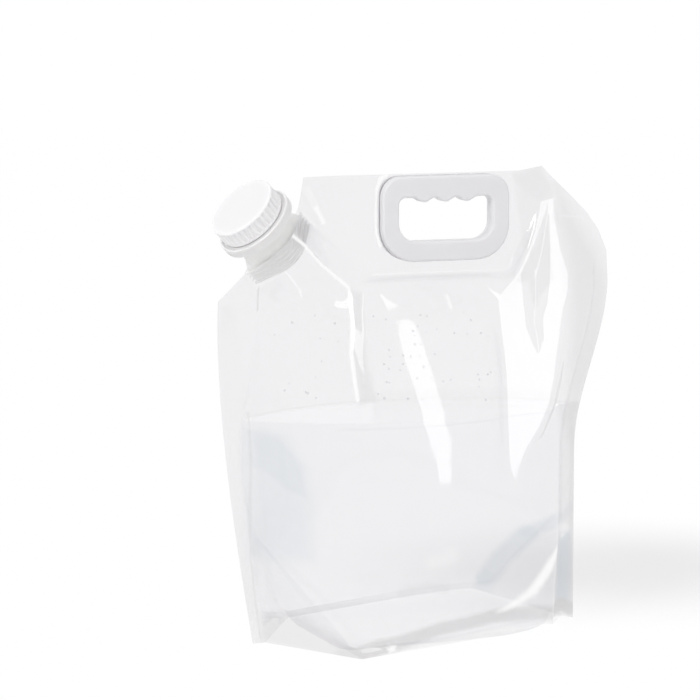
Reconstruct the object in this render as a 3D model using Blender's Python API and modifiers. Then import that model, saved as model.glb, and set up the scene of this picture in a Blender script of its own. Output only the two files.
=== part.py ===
"""Collapsible water carrier: a stand-up film pouch with a corner spout, a screw cap and a clip-on handle.

Metres, +Z up. X runs along the width, with the spout at -X. The front wall faces -Y. The origin lies on
the floor in the middle of the base.
"""

import math

import bmesh
import bpy
from mathutils import Matrix, Vector

MM = 0.001

# Pouch, as it stands partly filled
BAG_HEIGHT = 330 * MM
BAG_HALF_WIDTH = 150 * MM
FOOT_HALF_WIDTH = 124.5 * MM
BAG_HALF_DEPTH = 78 * MM
FILM_THICKNESS = 0.6 * MM
SIDE_SEAL_WIDTH = 10 * MM
LEFT_SHOULDER_DROP = 89 * MM
RIGHT_SHOULDER_DROP = 80 * MM
RIGHT_FLARE_HEIGHT = 122 * MM
TOP_LEFT_SETBACK = 62 * MM
SPOUT_CUT_TOP_SETBACK = 57 * MM
GUSSET_SEAL_HEIGHT = 84 * MM
BASE_SEAL_HEIGHT = 7 * MM
FLAT_TOP_DEPTH = 72 * MM
FOOT_LIFT = 13 * MM
FOOT_LIFT_SETBACK = 52.5 * MM
PIECE_GAP = 0.3 * MM
LEFT_SHOULDER_HEIGHT = BAG_HEIGHT - LEFT_SHOULDER_DROP
RIGHT_SHOULDER_HEIGHT = BAG_HEIGHT - RIGHT_SHOULDER_DROP
RIGHT_FLARE_START = RIGHT_SHOULDER_HEIGHT - RIGHT_FLARE_HEIGHT
FLAT_TOP_START = BAG_HEIGHT - FLAT_TOP_DEPTH
TOP_LEFT_X = TOP_LEFT_SETBACK - BAG_HALF_WIDTH
SPOUT_CUT_TOP_X = SPOUT_CUT_TOP_SETBACK - BAG_HALF_WIDTH
FOOT_LIFT_START_X = FOOT_LIFT_SETBACK - FOOT_HALF_WIDTH
FOOT_LIFT_END_X = FOOT_HALF_WIDTH - FOOT_LIFT_SETBACK

# Spout, along its own axis, which leaves the corner cut square to it
SPOUT_TILT = math.radians(45)
SPOUT_SETBACK = 39.9 * MM
SPOUT_DROP = 45.5 * MM
SPOUT_X = SPOUT_SETBACK - BAG_HALF_WIDTH
SPOUT_Z = BAG_HEIGHT - SPOUT_DROP
SPOUT_LEAN = math.radians(12.5)
LEAN_REACH = 48 * MM
LEAN_FADE_END = 84 * MM
BOAT_HALF_WIDTH = 20.5 * MM
BOAT_HALF_LENGTH = 30 * MM
BOAT_DEPTH = 13 * MM
WELD_CLEARANCE = 1.1 * MM
WELD_RIB_HEIGHT = 1.0 * MM
WELD_RIB_COUNT = 4
WELD_RIB_START_SHARE = 0.3
BOAT_BORE_RADIUS = 17.2 * MM
NECK_RADIUS = 21.4 * MM
NECK_BORE_RADIUS = 18.8 * MM
NECK_TOP = 35.7 * MM
SHOULDER_HEIGHT = 10 * MM
FLANGE_RADIUS = 25 * MM
FLANGE_BASE = 15.2 * MM
FLANGE_THICKNESS = 2 * MM

# Thread, a double start shared by the neck and the cap
THREAD_LEAD = 8 * MM
THREAD_STARTS = 2
THREAD_HEIGHT = 1.4 * MM
THREAD_ROOT_WIDTH = 1.8 * MM
THREAD_CREST_WIDTH = 0.8 * MM
THREAD_BASE = 27.4 * MM
NECK_THREAD_TURNS = 0.75
CAP_THREAD_TURNS = 0.4
THREAD_STEPS_PER_TURN = 40
THREAD_START_TURN = 0.0075
THREAD_FADE_STEPS = 4
THREAD_END_SHARE = 0.1

# Cap, its sealing disc and the collar left on the neck
CAP_FACE = 39.1 * MM
CAP_FOOT = 24.8 * MM
CAP_RADIUS = 25.2 * MM
CAP_BORE_RADIUS = 23.2 * MM
CAP_TOP_THICKNESS = 1.6 * MM
CAP_EDGE = 1.4 * MM
FLUTE_COUNT = 36
FLUTE_DEPTH = 0.7 * MM
SEAL_RADIUS = 22.4 * MM
SEAL_THICKNESS = 1.2 * MM
COLLAR_RADIUS = 28.5 * MM
COLLAR_WALL = 1.8 * MM
COLLAR_HEIGHT = 7 * MM
COLLAR_CLEARANCE = 0.5 * MM

# Handle, two halves that clip together through the film
HANDLE_X = 20.5 * MM
HANDLE_TOP_DROP = 1.5 * MM
HANDLE_TOP = BAG_HEIGHT - HANDLE_TOP_DROP
HANDLE_LENGTH = 98 * MM
HANDLE_HEIGHT = 61 * MM
HANDLE_HALF_THICKNESS = 6.4 * MM
HANDLE_TOP_RADIUS = 15 * MM
HANDLE_BOTTOM_RADIUS = 25 * MM
HANDLE_EDGE = 1.6 * MM
GRIP_LENGTH = 72 * MM
GRIP_HEIGHT = 31 * MM
GRIP_BAR = 15.5 * MM
GRIP_TOP_RADIUS = 5 * MM
GRIP_BOTTOM_RADIUS = 13 * MM
FINGER_PITCH = 16.4 * MM
FINGER_BUMP = 3.4 * MM
FINGER_BUMP_COUNT = 3
LIP_WIDTH = 2.4 * MM
PIN_RADIUS = 1.9 * MM
PIN_CLEARANCE = 0.3 * MM
PIN_REACH = 3.6 * MM
PIN_CHAMFER = 0.5 * MM
PIN_TOP_SPREAD = 1.5 * FINGER_PITCH
PIN_BOTTOM_SPREAD = 1.2 * FINGER_PITCH

OVERRUN = 20 * MM
CURVE_STEPS = 8
ROUND_STEPS = 48
SIDE_STEPS = 14
WELD_DISTANCE = 0.01 * MM
FLAT_ANGLE = math.radians(0.05)

# The pouch's top edge and upper right corner, each point as a share of its half width and height
TOP_RIGHT_SHARES = (
    (0.992, 0.82),
    (0.948, 0.866),
    (0.885, 0.905),
    (0.795, 0.945),
    (0.7, 0.984),
    (0.646, 1.009),
    (0.53, 1.0),
)

# Half depth of the filled pouch up its height, both as shares; the flat top begins at its share
FLAT_TOP_SHARE = 0.7818
DEPTH_SHARES = (
    (0.0, 0.95),
    (0.06, 0.99),
    (0.12, 1.0),
    (0.25, 0.92),
    (0.36, 0.81),
    (0.48, 0.69),
    (0.58, 0.56),
    (0.67, 0.38),
    (0.73, 0.19),
    (0.77, 0.05),
    (0.785, 0.0),
    (1.01, 0.0),
)
KNEE_SHARE = 0.62
LENS_POWER = 0.86
SPOUT_SWELL_FADE = 90 * MM
SPOUT_SWELL_SPREAD_SHARE = 0.1
RIGHT_SWELL_RISE = 38 * MM
SWELL_BLEND = 12 * MM
FLAT_SHOULDER_WIDTH = 20 * MM

# Lines of the walls' grid. Those beside the left edge are close together, for the swell round the spout
LEFT_CELLS = 12
MIDDLE_CELLS = 16
RIGHT_CELLS = 5
FACET_ROWS = 7
BODY_ROWS = 9
SPOUT_ROWS = 17
SPOUT_ROWS_BELOW = 52.5 * MM
SPOUT_ROWS_ABOVE = 24.5 * MM
SPOUT_ROW_START = SPOUT_Z - SPOUT_ROWS_BELOW
SPOUT_ROW_END = SPOUT_Z + SPOUT_ROWS_ABOVE
KNEE_LIMIT = 0.97
KNEE_RETURN_RISE = 106 * MM
KNEE_RETURN_HEIGHT = GUSSET_SEAL_HEIGHT + KNEE_RETURN_RISE
GRID_MARGIN = 2 * MM

# Bottom gusset film: sizes across its welded edge and its fold
GUSSET_INSET = 1.6 * MM
GUSSET_FOLD = 8 * MM
GUSSET_FOLD_DROP_SHARE = 0.55
GUSSET_FLAT_START = 26 * MM
GUSSET_LEAST_FLAT_SHARE = 0.3
GUSSET_LEAST_FOLD_SHARE = 0.6
GUSSET_WELD_SHARE = 0.17

FILM_COLOUR = (0.90, 0.92, 0.93, 1.0)
GUSSET_COLOUR = (0.84, 0.88, 0.90, 1.0)
CAP_COLOUR = (0.93, 0.93, 0.95, 1.0)
SPOUT_COLOUR = (0.86, 0.86, 0.85, 1.0)
SEAL_COLOUR = (0.80, 0.82, 0.84, 1.0)
HANDLE_COLOUR = (0.80, 0.80, 0.82, 1.0)


def clear_scene():
    for thing in list(bpy.data.objects):
        bpy.data.objects.remove(thing)


def new_collection(name):
    made = bpy.data.collections.new(name)
    bpy.context.scene.collection.children.link(made)
    return made


def new_material(name, colour, roughness, alpha=1.0):
    made = bpy.data.materials.new(name)
    made.use_nodes = True
    shader = made.node_tree.nodes["Principled BSDF"]
    shader.inputs["Base Color"].default_value = colour
    shader.inputs["Roughness"].default_value = roughness
    shader.inputs["Metallic"].default_value = 0.0
    shader.inputs["Alpha"].default_value = alpha
    made.diffuse_color = (*colour[:3], alpha)
    return made


def ease(low, high, value):
    """0 below low, 1 above high, and a smooth step between them."""
    share = min(1.0, max(0.0, (value - low) / (high - low)))
    return share * share * (3 - 2 * share)


def read_curve(table, at):
    """Smooth reading of a table of (place, value) pairs that never overshoots a flat end."""
    at = min(max(at, table[0][0]), table[-1][0])
    last = len(table) - 1
    slopes = []
    for i in range(len(table)):
        before, after = table[max(0, i - 1)], table[min(last, i + 1)]
        slopes.append((after[1] - before[1]) / (after[0] - before[0]))
        if table[i][1] == after[1] or table[i][1] == before[1]:
            slopes[i] = 0.0
    for i in range(last):
        (a, first), (b, second) = table[i], table[i + 1]
        if at <= b:
            span = b - a
            t = (at - a) / span
            return (
                first * (1 + 2 * t) * (1 - t) ** 2
                + second * t * t * (3 - 2 * t)
                + slopes[i] * span * t * (1 - t) ** 2
                - slopes[i + 1] * span * t * t * (1 - t)
            )
    return table[-1][1]


def left_edge(z):
    """X of the pouch's left side edge: drawn in at the foot, where the gusset takes up width."""
    climb = math.sin(math.pi / 2 * min(1.0, z / LEFT_SHOULDER_HEIGHT))
    return -(FOOT_HALF_WIDTH + (BAG_HALF_WIDTH - FOOT_HALF_WIDTH) * climb)


def right_edge(z):
    """X of the pouch's right side edge, which flares out above the water."""
    flare = ease(RIGHT_FLARE_START, RIGHT_SHOULDER_HEIGHT, z)
    return FOOT_HALF_WIDTH + (BAG_HALF_WIDTH - FOOT_HALF_WIDTH) * flare


def foot_lift(x):
    """Height of the walls' lower edge over the floor: the seal's right corner is drawn up a little."""
    if x <= FOOT_LIFT_END_X:
        share = (x - FOOT_LIFT_START_X) / (FOOT_LIFT_END_X - FOOT_LIFT_START_X)
    else:
        share = (FOOT_HALF_WIDTH - x) / (FOOT_HALF_WIDTH - FOOT_LIFT_END_X)
    return FOOT_LIFT * max(0.0, share)


def spout_place(x, z):
    """(distance along the corner cut, distance inwards from it) of a point of the wall."""
    across = (x - SPOUT_X) * math.cos(SPOUT_TILT) + (z - SPOUT_Z) * math.sin(SPOUT_TILT)
    inwards = (x - SPOUT_X) * math.sin(SPOUT_TILT) - (z - SPOUT_Z) * math.cos(SPOUT_TILT)
    return across, inwards


def boat_half_width(across, half_length):
    """Half width of a canoe plan: a circle, with straight flanks to its two tips."""
    flank = math.acos(BOAT_HALF_WIDTH / half_length)
    across = abs(across)
    if across <= BOAT_HALF_WIDTH * math.cos(flank):
        return math.sqrt(BOAT_HALF_WIDTH**2 - across**2)
    return max(0.0, (BOAT_HALF_WIDTH - across * math.cos(flank)) / math.sin(flank))


def body_depth(x, z):
    """Half depth of the filled pouch itself, with the flat corner facets of its K-shaped bottom seals."""
    fin = SIDE_SEAL_WIDTH + FLAT_SHOULDER_WIDTH * ease(
        LEFT_SHOULDER_HEIGHT * 0.5, LEFT_SHOULDER_HEIGHT, z
    )
    left = left_edge(z) + fin
    right = right_edge(z) - SIDE_SEAL_WIDTH
    side = 2 * (x - left) / (right - left) - 1
    if abs(side) >= 1:
        return 0.0
    rise = RIGHT_SWELL_RISE * ease(HANDLE_X + HANDLE_LENGTH / 2, BAG_HALF_WIDTH - LEAN_REACH, x)
    level = z * FLAT_TOP_START / (FLAT_TOP_START + rise)
    depth = BAG_HALF_DEPTH * read_curve(DEPTH_SHARES, FLAT_TOP_SHARE * level / FLAT_TOP_START)
    facet = max(0.0, 1 - z / GUSSET_SEAL_HEIGHT)
    knee = KNEE_SHARE + (1 - KNEE_SHARE) * (1 - facet)
    knee_depth = min(depth, BAG_HALF_DEPTH * facet)
    if abs(side) > knee:
        return knee_depth * (1 - abs(side)) / (1 - knee)
    lens = (1 - (side / knee) ** 2) ** LENS_POWER
    return knee_depth + (depth - knee_depth) * lens


def middle_lean(x, z):
    """How far the film's middle surface leans to the front at the spout's corner."""
    across, inwards = spout_place(x, z)
    slope = math.tan(SPOUT_LEAN) * (1 - ease(BOAT_HALF_LENGTH, LEAN_FADE_END, abs(across)))
    if inwards < 0:
        return slope * (LEAN_REACH / 2 - inwards)
    return slope * max(0.0, LEAN_REACH - inwards) ** 2 / (2 * LEAN_REACH)


def wall_depth(x, z):
    """Distance from the film's middle surface to the inner face of either wall."""
    body = body_depth(x, z)
    across, inwards = spout_place(x, z)
    free = max(0.0, inwards - BOAT_DEPTH)
    reach = BOAT_HALF_LENGTH + SPOUT_SWELL_SPREAD_SHARE * free
    swell = boat_half_width(across, reach) * (1 - ease(0, SPOUT_SWELL_FADE, free))
    blend = min(SWELL_BLEND, free / 2)
    near = max(0.0, blend - abs(body - swell))
    lift = near * near / (4 * blend) if blend > 0 else 0.0
    return max(body, swell) + lift * ease(0, SWELL_BLEND, max(body, swell))


def add_object(name, mesh, collection, material=None):
    made = bpy.data.objects.new(name, mesh)
    collection.objects.link(made)
    if material:
        mesh.materials.append(material)
    return made


def finished_mesh(obj):
    """The evaluated mesh of an object with its modifiers, welded and on its own."""
    bpy.context.view_layer.update()
    graph = bpy.context.evaluated_depsgraph_get()
    mesh = bpy.data.meshes.new_from_object(obj.evaluated_get(graph))
    mesh.transform(obj.matrix_world)
    shape = bmesh.new()
    shape.from_mesh(mesh)
    bmesh.ops.remove_doubles(shape, verts=shape.verts, dist=WELD_DISTANCE)
    bmesh.ops.dissolve_limit(
        shape, angle_limit=FLAT_ANGLE, verts=shape.verts, edges=shape.edges
    )
    shape.to_mesh(mesh)
    shape.free()
    return mesh


def settle(obj, collection, material=None, name=None):
    """Replaces an object by its finished mesh."""
    name = name or obj.name
    mesh = finished_mesh(obj)
    bpy.data.objects.remove(obj)
    mesh.materials.clear()
    return add_object(name, mesh, collection, material)


def make_cutter(obj):
    obj.hide_render = True
    obj.display_type = "WIRE"
    return obj


def combine(obj, other, operation):
    step = obj.modifiers.new(operation.title(), "BOOLEAN")
    step.operation = operation
    step.object = other
    make_cutter(other)


def loft(name, rings, collection, material=None, closed=False):
    """A tube through rings of points: capped at both ends, or joined end to end when closed."""
    shape = bmesh.new()
    rows = [[shape.verts.new(point) for point in ring] for ring in rings]
    pairs = list(zip(rows, rows[1:]))
    if closed:
        pairs.append((rows[-1], rows[0]))
    else:
        shape.faces.new(list(reversed(rows[0])))
        shape.faces.new(rows[-1])
    for low, high in pairs:
        count = len(low)
        for i in range(count):
            j = (i + 1) % count
            shape.faces.new((low[i], low[j], high[j], high[i]))
    bmesh.ops.recalc_face_normals(shape, faces=shape.faces)
    mesh = bpy.data.meshes.new(name)
    shape.to_mesh(mesh)
    shape.free()
    return add_object(name, mesh, collection, material)


def flat_outline(name, outlines, low, high, collection, edge=0.0):
    """A plate between Y low and high, cut to closed outlines in X and Z; later outlines are holes."""
    curve = bpy.data.curves.new(name, "CURVE")
    curve.dimensions = "2D"
    curve.fill_mode = "BOTH"
    curve.extrude = (high - low) / 2 - edge
    curve.bevel_depth = edge
    curve.bevel_resolution = 1
    curve.offset = -edge
    for points in outlines:
        spline = curve.splines.new("POLY")
        spline.points.add(len(points) - 1)
        for point, (x, z) in zip(spline.points, points):
            point.co = (x, z, 0, 1)
        spline.use_cyclic_u = True
    made = bpy.data.objects.new(name, curve)
    collection.objects.link(made)
    made.matrix_world = Matrix.Translation((0, (low + high) / 2, 0)) @ Matrix.Rotation(
        math.pi / 2, 4, "X"
    )
    return settle(made, collection)


def arc(centre, radius, start, stop, steps=CURVE_STEPS):
    return [
        (
            centre[0] + radius * math.cos(start + (stop - start) * i / steps),
            centre[1] + radius * math.sin(start + (stop - start) * i / steps),
        )
        for i in range(steps + 1)
    ]


def side_run(edge, low, high):
    heights = [low + (high - low) * i / SIDE_STEPS for i in range(SIDE_STEPS + 1)]
    return [(edge(z), z) for z in heights]


def pouch_outline():
    """The flat cut of the walls, seen from the front, anticlockwise from the right foot."""
    points = side_run(right_edge, 0, RIGHT_SHOULDER_HEIGHT)
    points += [(x * BAG_HALF_WIDTH, z * BAG_HEIGHT) for x, z in TOP_RIGHT_SHARES]
    points.append((TOP_LEFT_X, BAG_HEIGHT))
    cut_top = (SPOUT_CUT_TOP_X, SPOUT_Z + (SPOUT_CUT_TOP_X - SPOUT_X) * math.tan(SPOUT_TILT))
    cut_foot_x = -BAG_HALF_WIDTH
    cut_foot = (cut_foot_x, SPOUT_Z + (cut_foot_x - SPOUT_X) * math.tan(SPOUT_TILT))
    points += [cut_top, cut_foot]
    points += list(reversed(side_run(left_edge, 0, min(LEFT_SHOULDER_HEIGHT, cut_foot[1] - MM))))
    return points + [(FOOT_LIFT_START_X, 0), (FOOT_LIFT_END_X, FOOT_LIFT)]


def rounded_frame(centre_x, top, length, height, top_radius, bottom_radius):
    left, right = centre_x - length / 2, centre_x + length / 2
    bottom = top - height
    quarter = math.pi / 2
    points = arc((left + bottom_radius, bottom + bottom_radius), bottom_radius, 2 * quarter, 3 * quarter)
    points += arc((right - bottom_radius, bottom + bottom_radius), bottom_radius, 3 * quarter, 4 * quarter)
    points += arc((right - top_radius, top - top_radius), top_radius, 0, quarter)
    points += arc((left + top_radius, top - top_radius), top_radius, quarter, 2 * quarter)
    return points


def grip_outline(grow=0.0):
    """The hand opening: a rounded slot whose upper edge has bumps between the fingers."""
    top = HANDLE_TOP - GRIP_BAR
    frame = rounded_frame(
        HANDLE_X,
        top + grow,
        GRIP_LENGTH + 2 * grow,
        GRIP_HEIGHT + 2 * grow,
        GRIP_TOP_RADIUS + grow,
        GRIP_BOTTOM_RADIUS + grow,
    )
    corner = 3 * (CURVE_STEPS + 1)
    half_run = FINGER_BUMP_COUNT * FINGER_PITCH / 2
    steps = FINGER_BUMP_COUNT * CURVE_STEPS
    bumps = []
    for i in range(steps + 1):
        along = half_run - 2 * half_run * i / steps
        dip = FINGER_BUMP * math.cos(math.pi * along / FINGER_PITCH) ** 2
        bumps.append((HANDLE_X + along, top + grow - dip))
    return frame[:corner] + bumps + frame[corner:]


def handle_outline():
    return rounded_frame(
        HANDLE_X, HANDLE_TOP, HANDLE_LENGTH, HANDLE_HEIGHT, HANDLE_TOP_RADIUS, HANDLE_BOTTOM_RADIUS
    )


def pin_places():
    """Centres of the clip pins, round the middle of the handle's ring."""
    top = HANDLE_TOP - GRIP_BAR / 2
    side_bar = (HANDLE_LENGTH - GRIP_LENGTH) / 2
    foot_bar = HANDLE_HEIGHT - GRIP_BAR - GRIP_HEIGHT
    bottom = HANDLE_TOP - HANDLE_HEIGHT + foot_bar / 2
    side = HANDLE_LENGTH / 2 - side_bar / 2
    middle = (top + bottom) / 2
    places = [(HANDLE_X + sign * PIN_TOP_SPREAD, top) for sign in (-1, 1)]
    places += [(HANDLE_X + sign * side, middle) for sign in (-1, 1)]
    places += [(HANDLE_X + sign * PIN_BOTTOM_SPREAD, bottom) for sign in (-1, 1)]
    return places


def make_pins(name, low, high, radius, collection, chamfer=0.0):
    """Short round pins along Y, from low to high, at every clip of the handle."""
    outlines = [arc(place, radius, 0, 2 * math.pi, 2 * CURVE_STEPS)[:-1] for place in pin_places()]
    return flat_outline(name, outlines, low, high, collection, chamfer)


def grid_lines():
    """Places of the grid's upright lines, from -1 at the left side seal to 1 at the right one."""
    knee = KNEE_SHARE
    left = [-1 + (1 - knee) * i / LEFT_CELLS for i in range(LEFT_CELLS)]
    middle = [-knee + 2 * knee * i / MIDDLE_CELLS for i in range(MIDDLE_CELLS)]
    right = [knee + (1 - knee) * i / RIGHT_CELLS for i in range(RIGHT_CELLS + 1)]
    return left + middle + right


def grid_rows():
    """Heights of the grid's level lines: the foot, the seals' corner facets, the body, the spout, the top."""
    stops = (
        (BASE_SEAL_HEIGHT, GUSSET_SEAL_HEIGHT, FACET_ROWS),
        (GUSSET_SEAL_HEIGHT, SPOUT_ROW_START, BODY_ROWS),
        (SPOUT_ROW_START, SPOUT_ROW_END, SPOUT_ROWS),
        (SPOUT_ROW_END, BAG_HEIGHT + 2 * GRID_MARGIN, 2),
    )
    rows = [-PIECE_GAP]
    for low, high, count in stops:
        rows += [low + (high - low) * i / count for i in range(count)]
    return rows + [stops[-1][1]]


def knee_line(z):
    """Where the grid line that follows the K-shaped seal stands at a height."""
    if z <= GUSSET_SEAL_HEIGHT:
        return min(KNEE_LIMIT, KNEE_SHARE + (1 - KNEE_SHARE) * z / GUSSET_SEAL_HEIGHT)
    return KNEE_LIMIT + (KNEE_SHARE - KNEE_LIMIT) * ease(GUSSET_SEAL_HEIGHT, KNEE_RETURN_HEIGHT, z)


def wall_node(line, z, side=1):
    """A point of the inner face of a wall: on a grid line, at a height. The rear wall is side 1."""
    knee = knee_line(z)
    past = abs(line) - KNEE_SHARE
    if past <= 0:
        across = line * knee / KNEE_SHARE
    else:
        across = math.copysign(knee + (1 - knee) * past / (1 - KNEE_SHARE), line)
    left = left_edge(z) + SIDE_SEAL_WIDTH
    right = right_edge(z) - SIDE_SEAL_WIDTH
    x = left + (right - left) * (1 + across) / 2
    y = side * (PIECE_GAP / 2 + wall_depth(x, z)) - middle_lean(x, z)
    return Vector((x, y, z))


def make_wall(name, side, collection, tools, material):
    """One film wall: a grid shaped to the filled pouch, thickened outwards and cut to the outline."""
    shape = bmesh.new()
    lines = grid_lines()
    rows = []
    for z in grid_rows():
        points = [wall_node(line, z, side) for line in lines]
        margin = SIDE_SEAL_WIDTH + GRID_MARGIN
        fins = []
        for x in (points[0].x - margin, points[-1].x + margin):
            fins.append(Vector((x, side * PIECE_GAP / 2 - middle_lean(x, z), z)))
        points = [fins[0]] + points + [fins[1]]
        rows.append([shape.verts.new(p) for p in points])
    for low, high in zip(rows, rows[1:]):
        for i in range(len(low) - 1):
            ring = [low[i], low[i + 1], high[i + 1], high[i]]
            if i > len(low) / 2:
                ring = ring[1:] + ring[:1]
            for corners in (ring[:3], (ring[0], ring[2], ring[3])):
                shape.faces.new(corners if side < 0 else list(reversed(corners)))
    mesh = bpy.data.meshes.new(name)
    shape.to_mesh(mesh)
    shape.free()
    wall = add_object(name, mesh, collection, material)
    thicken = wall.modifiers.new("Thickness", "SOLIDIFY")
    thicken.thickness = FILM_THICKNESS
    thicken.offset = 1
    thicken.use_even_offset = True
    combine(wall, tools["outline"], "INTERSECT")
    combine(wall, tools["film holes"], "DIFFERENCE")
    return settle(wall, collection, material)


def make_film_tools(cutters):
    reach = BAG_HALF_DEPTH + OVERRUN
    outline = flat_outline("pouch_outline", [pouch_outline()], -reach, reach, cutters)
    grow = LIP_WIDTH + PIECE_GAP
    holes = flat_outline("hand_hole", [grip_outline(grow)], -OVERRUN, OVERRUN, cutters)
    pin_holes = make_pins("pin_holes", -reach, reach, PIN_RADIUS + PIN_CLEARANCE, cutters)
    combine(holes, pin_holes, "UNION")
    holes = settle(holes, cutters, name="film_holes")
    return {"outline": make_cutter(outline), "film holes": make_cutter(holes)}


def inside_wall(line, z, inset=GUSSET_INSET):
    """A point set in from the inner face of the rear wall."""
    step = (1 - KNEE_SHARE) / LEFT_CELLS
    along = wall_node(line + step, z) - wall_node(line - step, z)
    up = wall_node(line, z + MM) - wall_node(line, z - MM)
    outwards = up.cross(along).normalized()
    return wall_node(line, z) - outwards * inset


def gusset_section(weld, fold, bottom):
    """Half of a strip across the gusset, from the edge of its weld to the middle plane."""
    flat_y = max(GUSSET_LEAST_FLAT_SHARE * fold.y, fold.y - GUSSET_FLAT_START)
    fold_y = max(GUSSET_LEAST_FOLD_SHARE * fold.y, fold.y - GUSSET_FOLD)
    fold_z = fold.z - (fold.z - bottom) * GUSSET_FOLD_DROP_SHARE
    return [
        weld,
        fold,
        Vector((fold.x, fold_y, fold_z)),
        Vector((fold.x, flat_y, bottom)),
        Vector((fold.x, 0, bottom)),
    ]


def gusset_sections():
    """Strips across the gusset from left to right: up each K-shaped seal, and along the base seal."""
    knee = KNEE_SHARE
    weld_line = knee + GUSSET_WELD_SHARE * (1 - knee)
    top = GUSSET_SEAL_HEIGHT * (KNEE_LIMIT - knee) / (1 - knee)
    sections = {-1: [], 1: []}
    for sign, strips in sections.items():
        foot = BASE_SEAL_HEIGHT + foot_lift(wall_node(sign * knee, 0).x)
        heights = [z for z in grid_rows() if foot + MM < z < top]
        for z in heights:
            bottom = z - foot * (top - z) / (top - foot)
            fold = inside_wall(sign * knee, z)
            strips.append(gusset_section(inside_wall(sign * weld_line, z), fold, bottom))
    base = []
    for line in grid_lines():
        if abs(line) < knee + MM:
            lift = foot_lift(wall_node(line, 0).x)
            weld = inside_wall(line, lift)
            weld.z = lift + PIECE_GAP
            base.append(gusset_section(weld, inside_wall(line, BASE_SEAL_HEIGHT + lift), 0))
    return list(reversed(sections[-1])) + base + sections[1]


def make_gusset(collection, material):
    """The bottom film: welded inside the walls' foot, flat on the floor, and rising into both corners."""
    shape = bmesh.new()
    rows = []
    for half in gusset_sections():
        mirrored = [Vector((p.x, -p.y, p.z)) for p in half[:-1]]
        rows.append([shape.verts.new(p) for p in mirrored + list(reversed(half))])
    for left, right in zip(rows, rows[1:]):
        for i in range(len(left) - 1):
            shape.faces.new((left[i], left[i + 1], right[i + 1], right[i]))
    mesh = bpy.data.meshes.new("bottom_gusset_film")
    shape.to_mesh(mesh)
    shape.free()
    gusset = add_object("bottom_gusset_film", mesh, collection, material)
    thicken = gusset.modifiers.new("Thickness", "SOLIDIFY")
    thicken.thickness = FILM_THICKNESS
    thicken.offset = -1
    return settle(gusset, collection, material)


def spout_frame():
    """Places a shape made along +Z on the spout's axis, which leans to the front with its corner."""
    cut = Vector((math.cos(SPOUT_TILT), 0, math.sin(SPOUT_TILT)))
    place = Matrix.Translation((SPOUT_X, -middle_lean(SPOUT_X, SPOUT_Z), SPOUT_Z))
    return place @ Matrix.Rotation(SPOUT_LEAN, 4, cut) @ Matrix.Rotation(-SPOUT_TILT, 4, "Y")


def plan_ring(height, radius, half_length=0.0, steps=ROUND_STEPS):
    """A ring of points at a height: a circle, or a canoe plan when a half length is given."""
    ring = []
    flank = math.acos(radius / half_length) if half_length > radius else 0.0
    for i in range(steps):
        angle = 2 * math.pi * i / steps
        from_tip = math.acos(min(1.0, abs(math.cos(angle))))
        reach = radius / math.cos(max(0.0, flank - from_tip))
        ring.append((reach * math.cos(angle), reach * math.sin(angle), height))
    return ring


def thread_ridges(name, radius, outwards, base, turns, collection):
    """The ridges of a multi-start thread, rooted in a wall and fading out at both ends."""
    ridges = []
    steps = round(turns * THREAD_STEPS_PER_TURN)
    root = radius - outwards * THREAD_HEIGHT / 2
    for start in range(THREAD_STARTS):
        rings = []
        for i in range(steps + 1):
            turn = i / THREAD_STEPS_PER_TURN
            angle = 2 * math.pi * (turn + start / THREAD_STARTS + THREAD_START_TURN)
            rise = base + THREAD_LEAD * turn
            fade = min(1.0, min(i, steps - i) / THREAD_FADE_STEPS)
            share = THREAD_END_SHARE + (1 - THREAD_END_SHARE) * fade
            crest = radius + outwards * THREAD_HEIGHT * share
            section = (
                (root, -THREAD_ROOT_WIDTH / 2),
                (crest, -THREAD_CREST_WIDTH / 2),
                (crest, THREAD_CREST_WIDTH / 2),
                (root, THREAD_ROOT_WIDTH / 2),
            )
            rings.append([(r * math.cos(angle), r * math.sin(angle), rise + h) for r, h in section])
        ridges.append(loft(f"{name}_{start}", rings, collection))
    return ridges


def join_ridges(body, ridges, collection, material):
    for ridge in ridges:
        combine(body, ridge, "UNION")
    return settle(body, collection, material)


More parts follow.
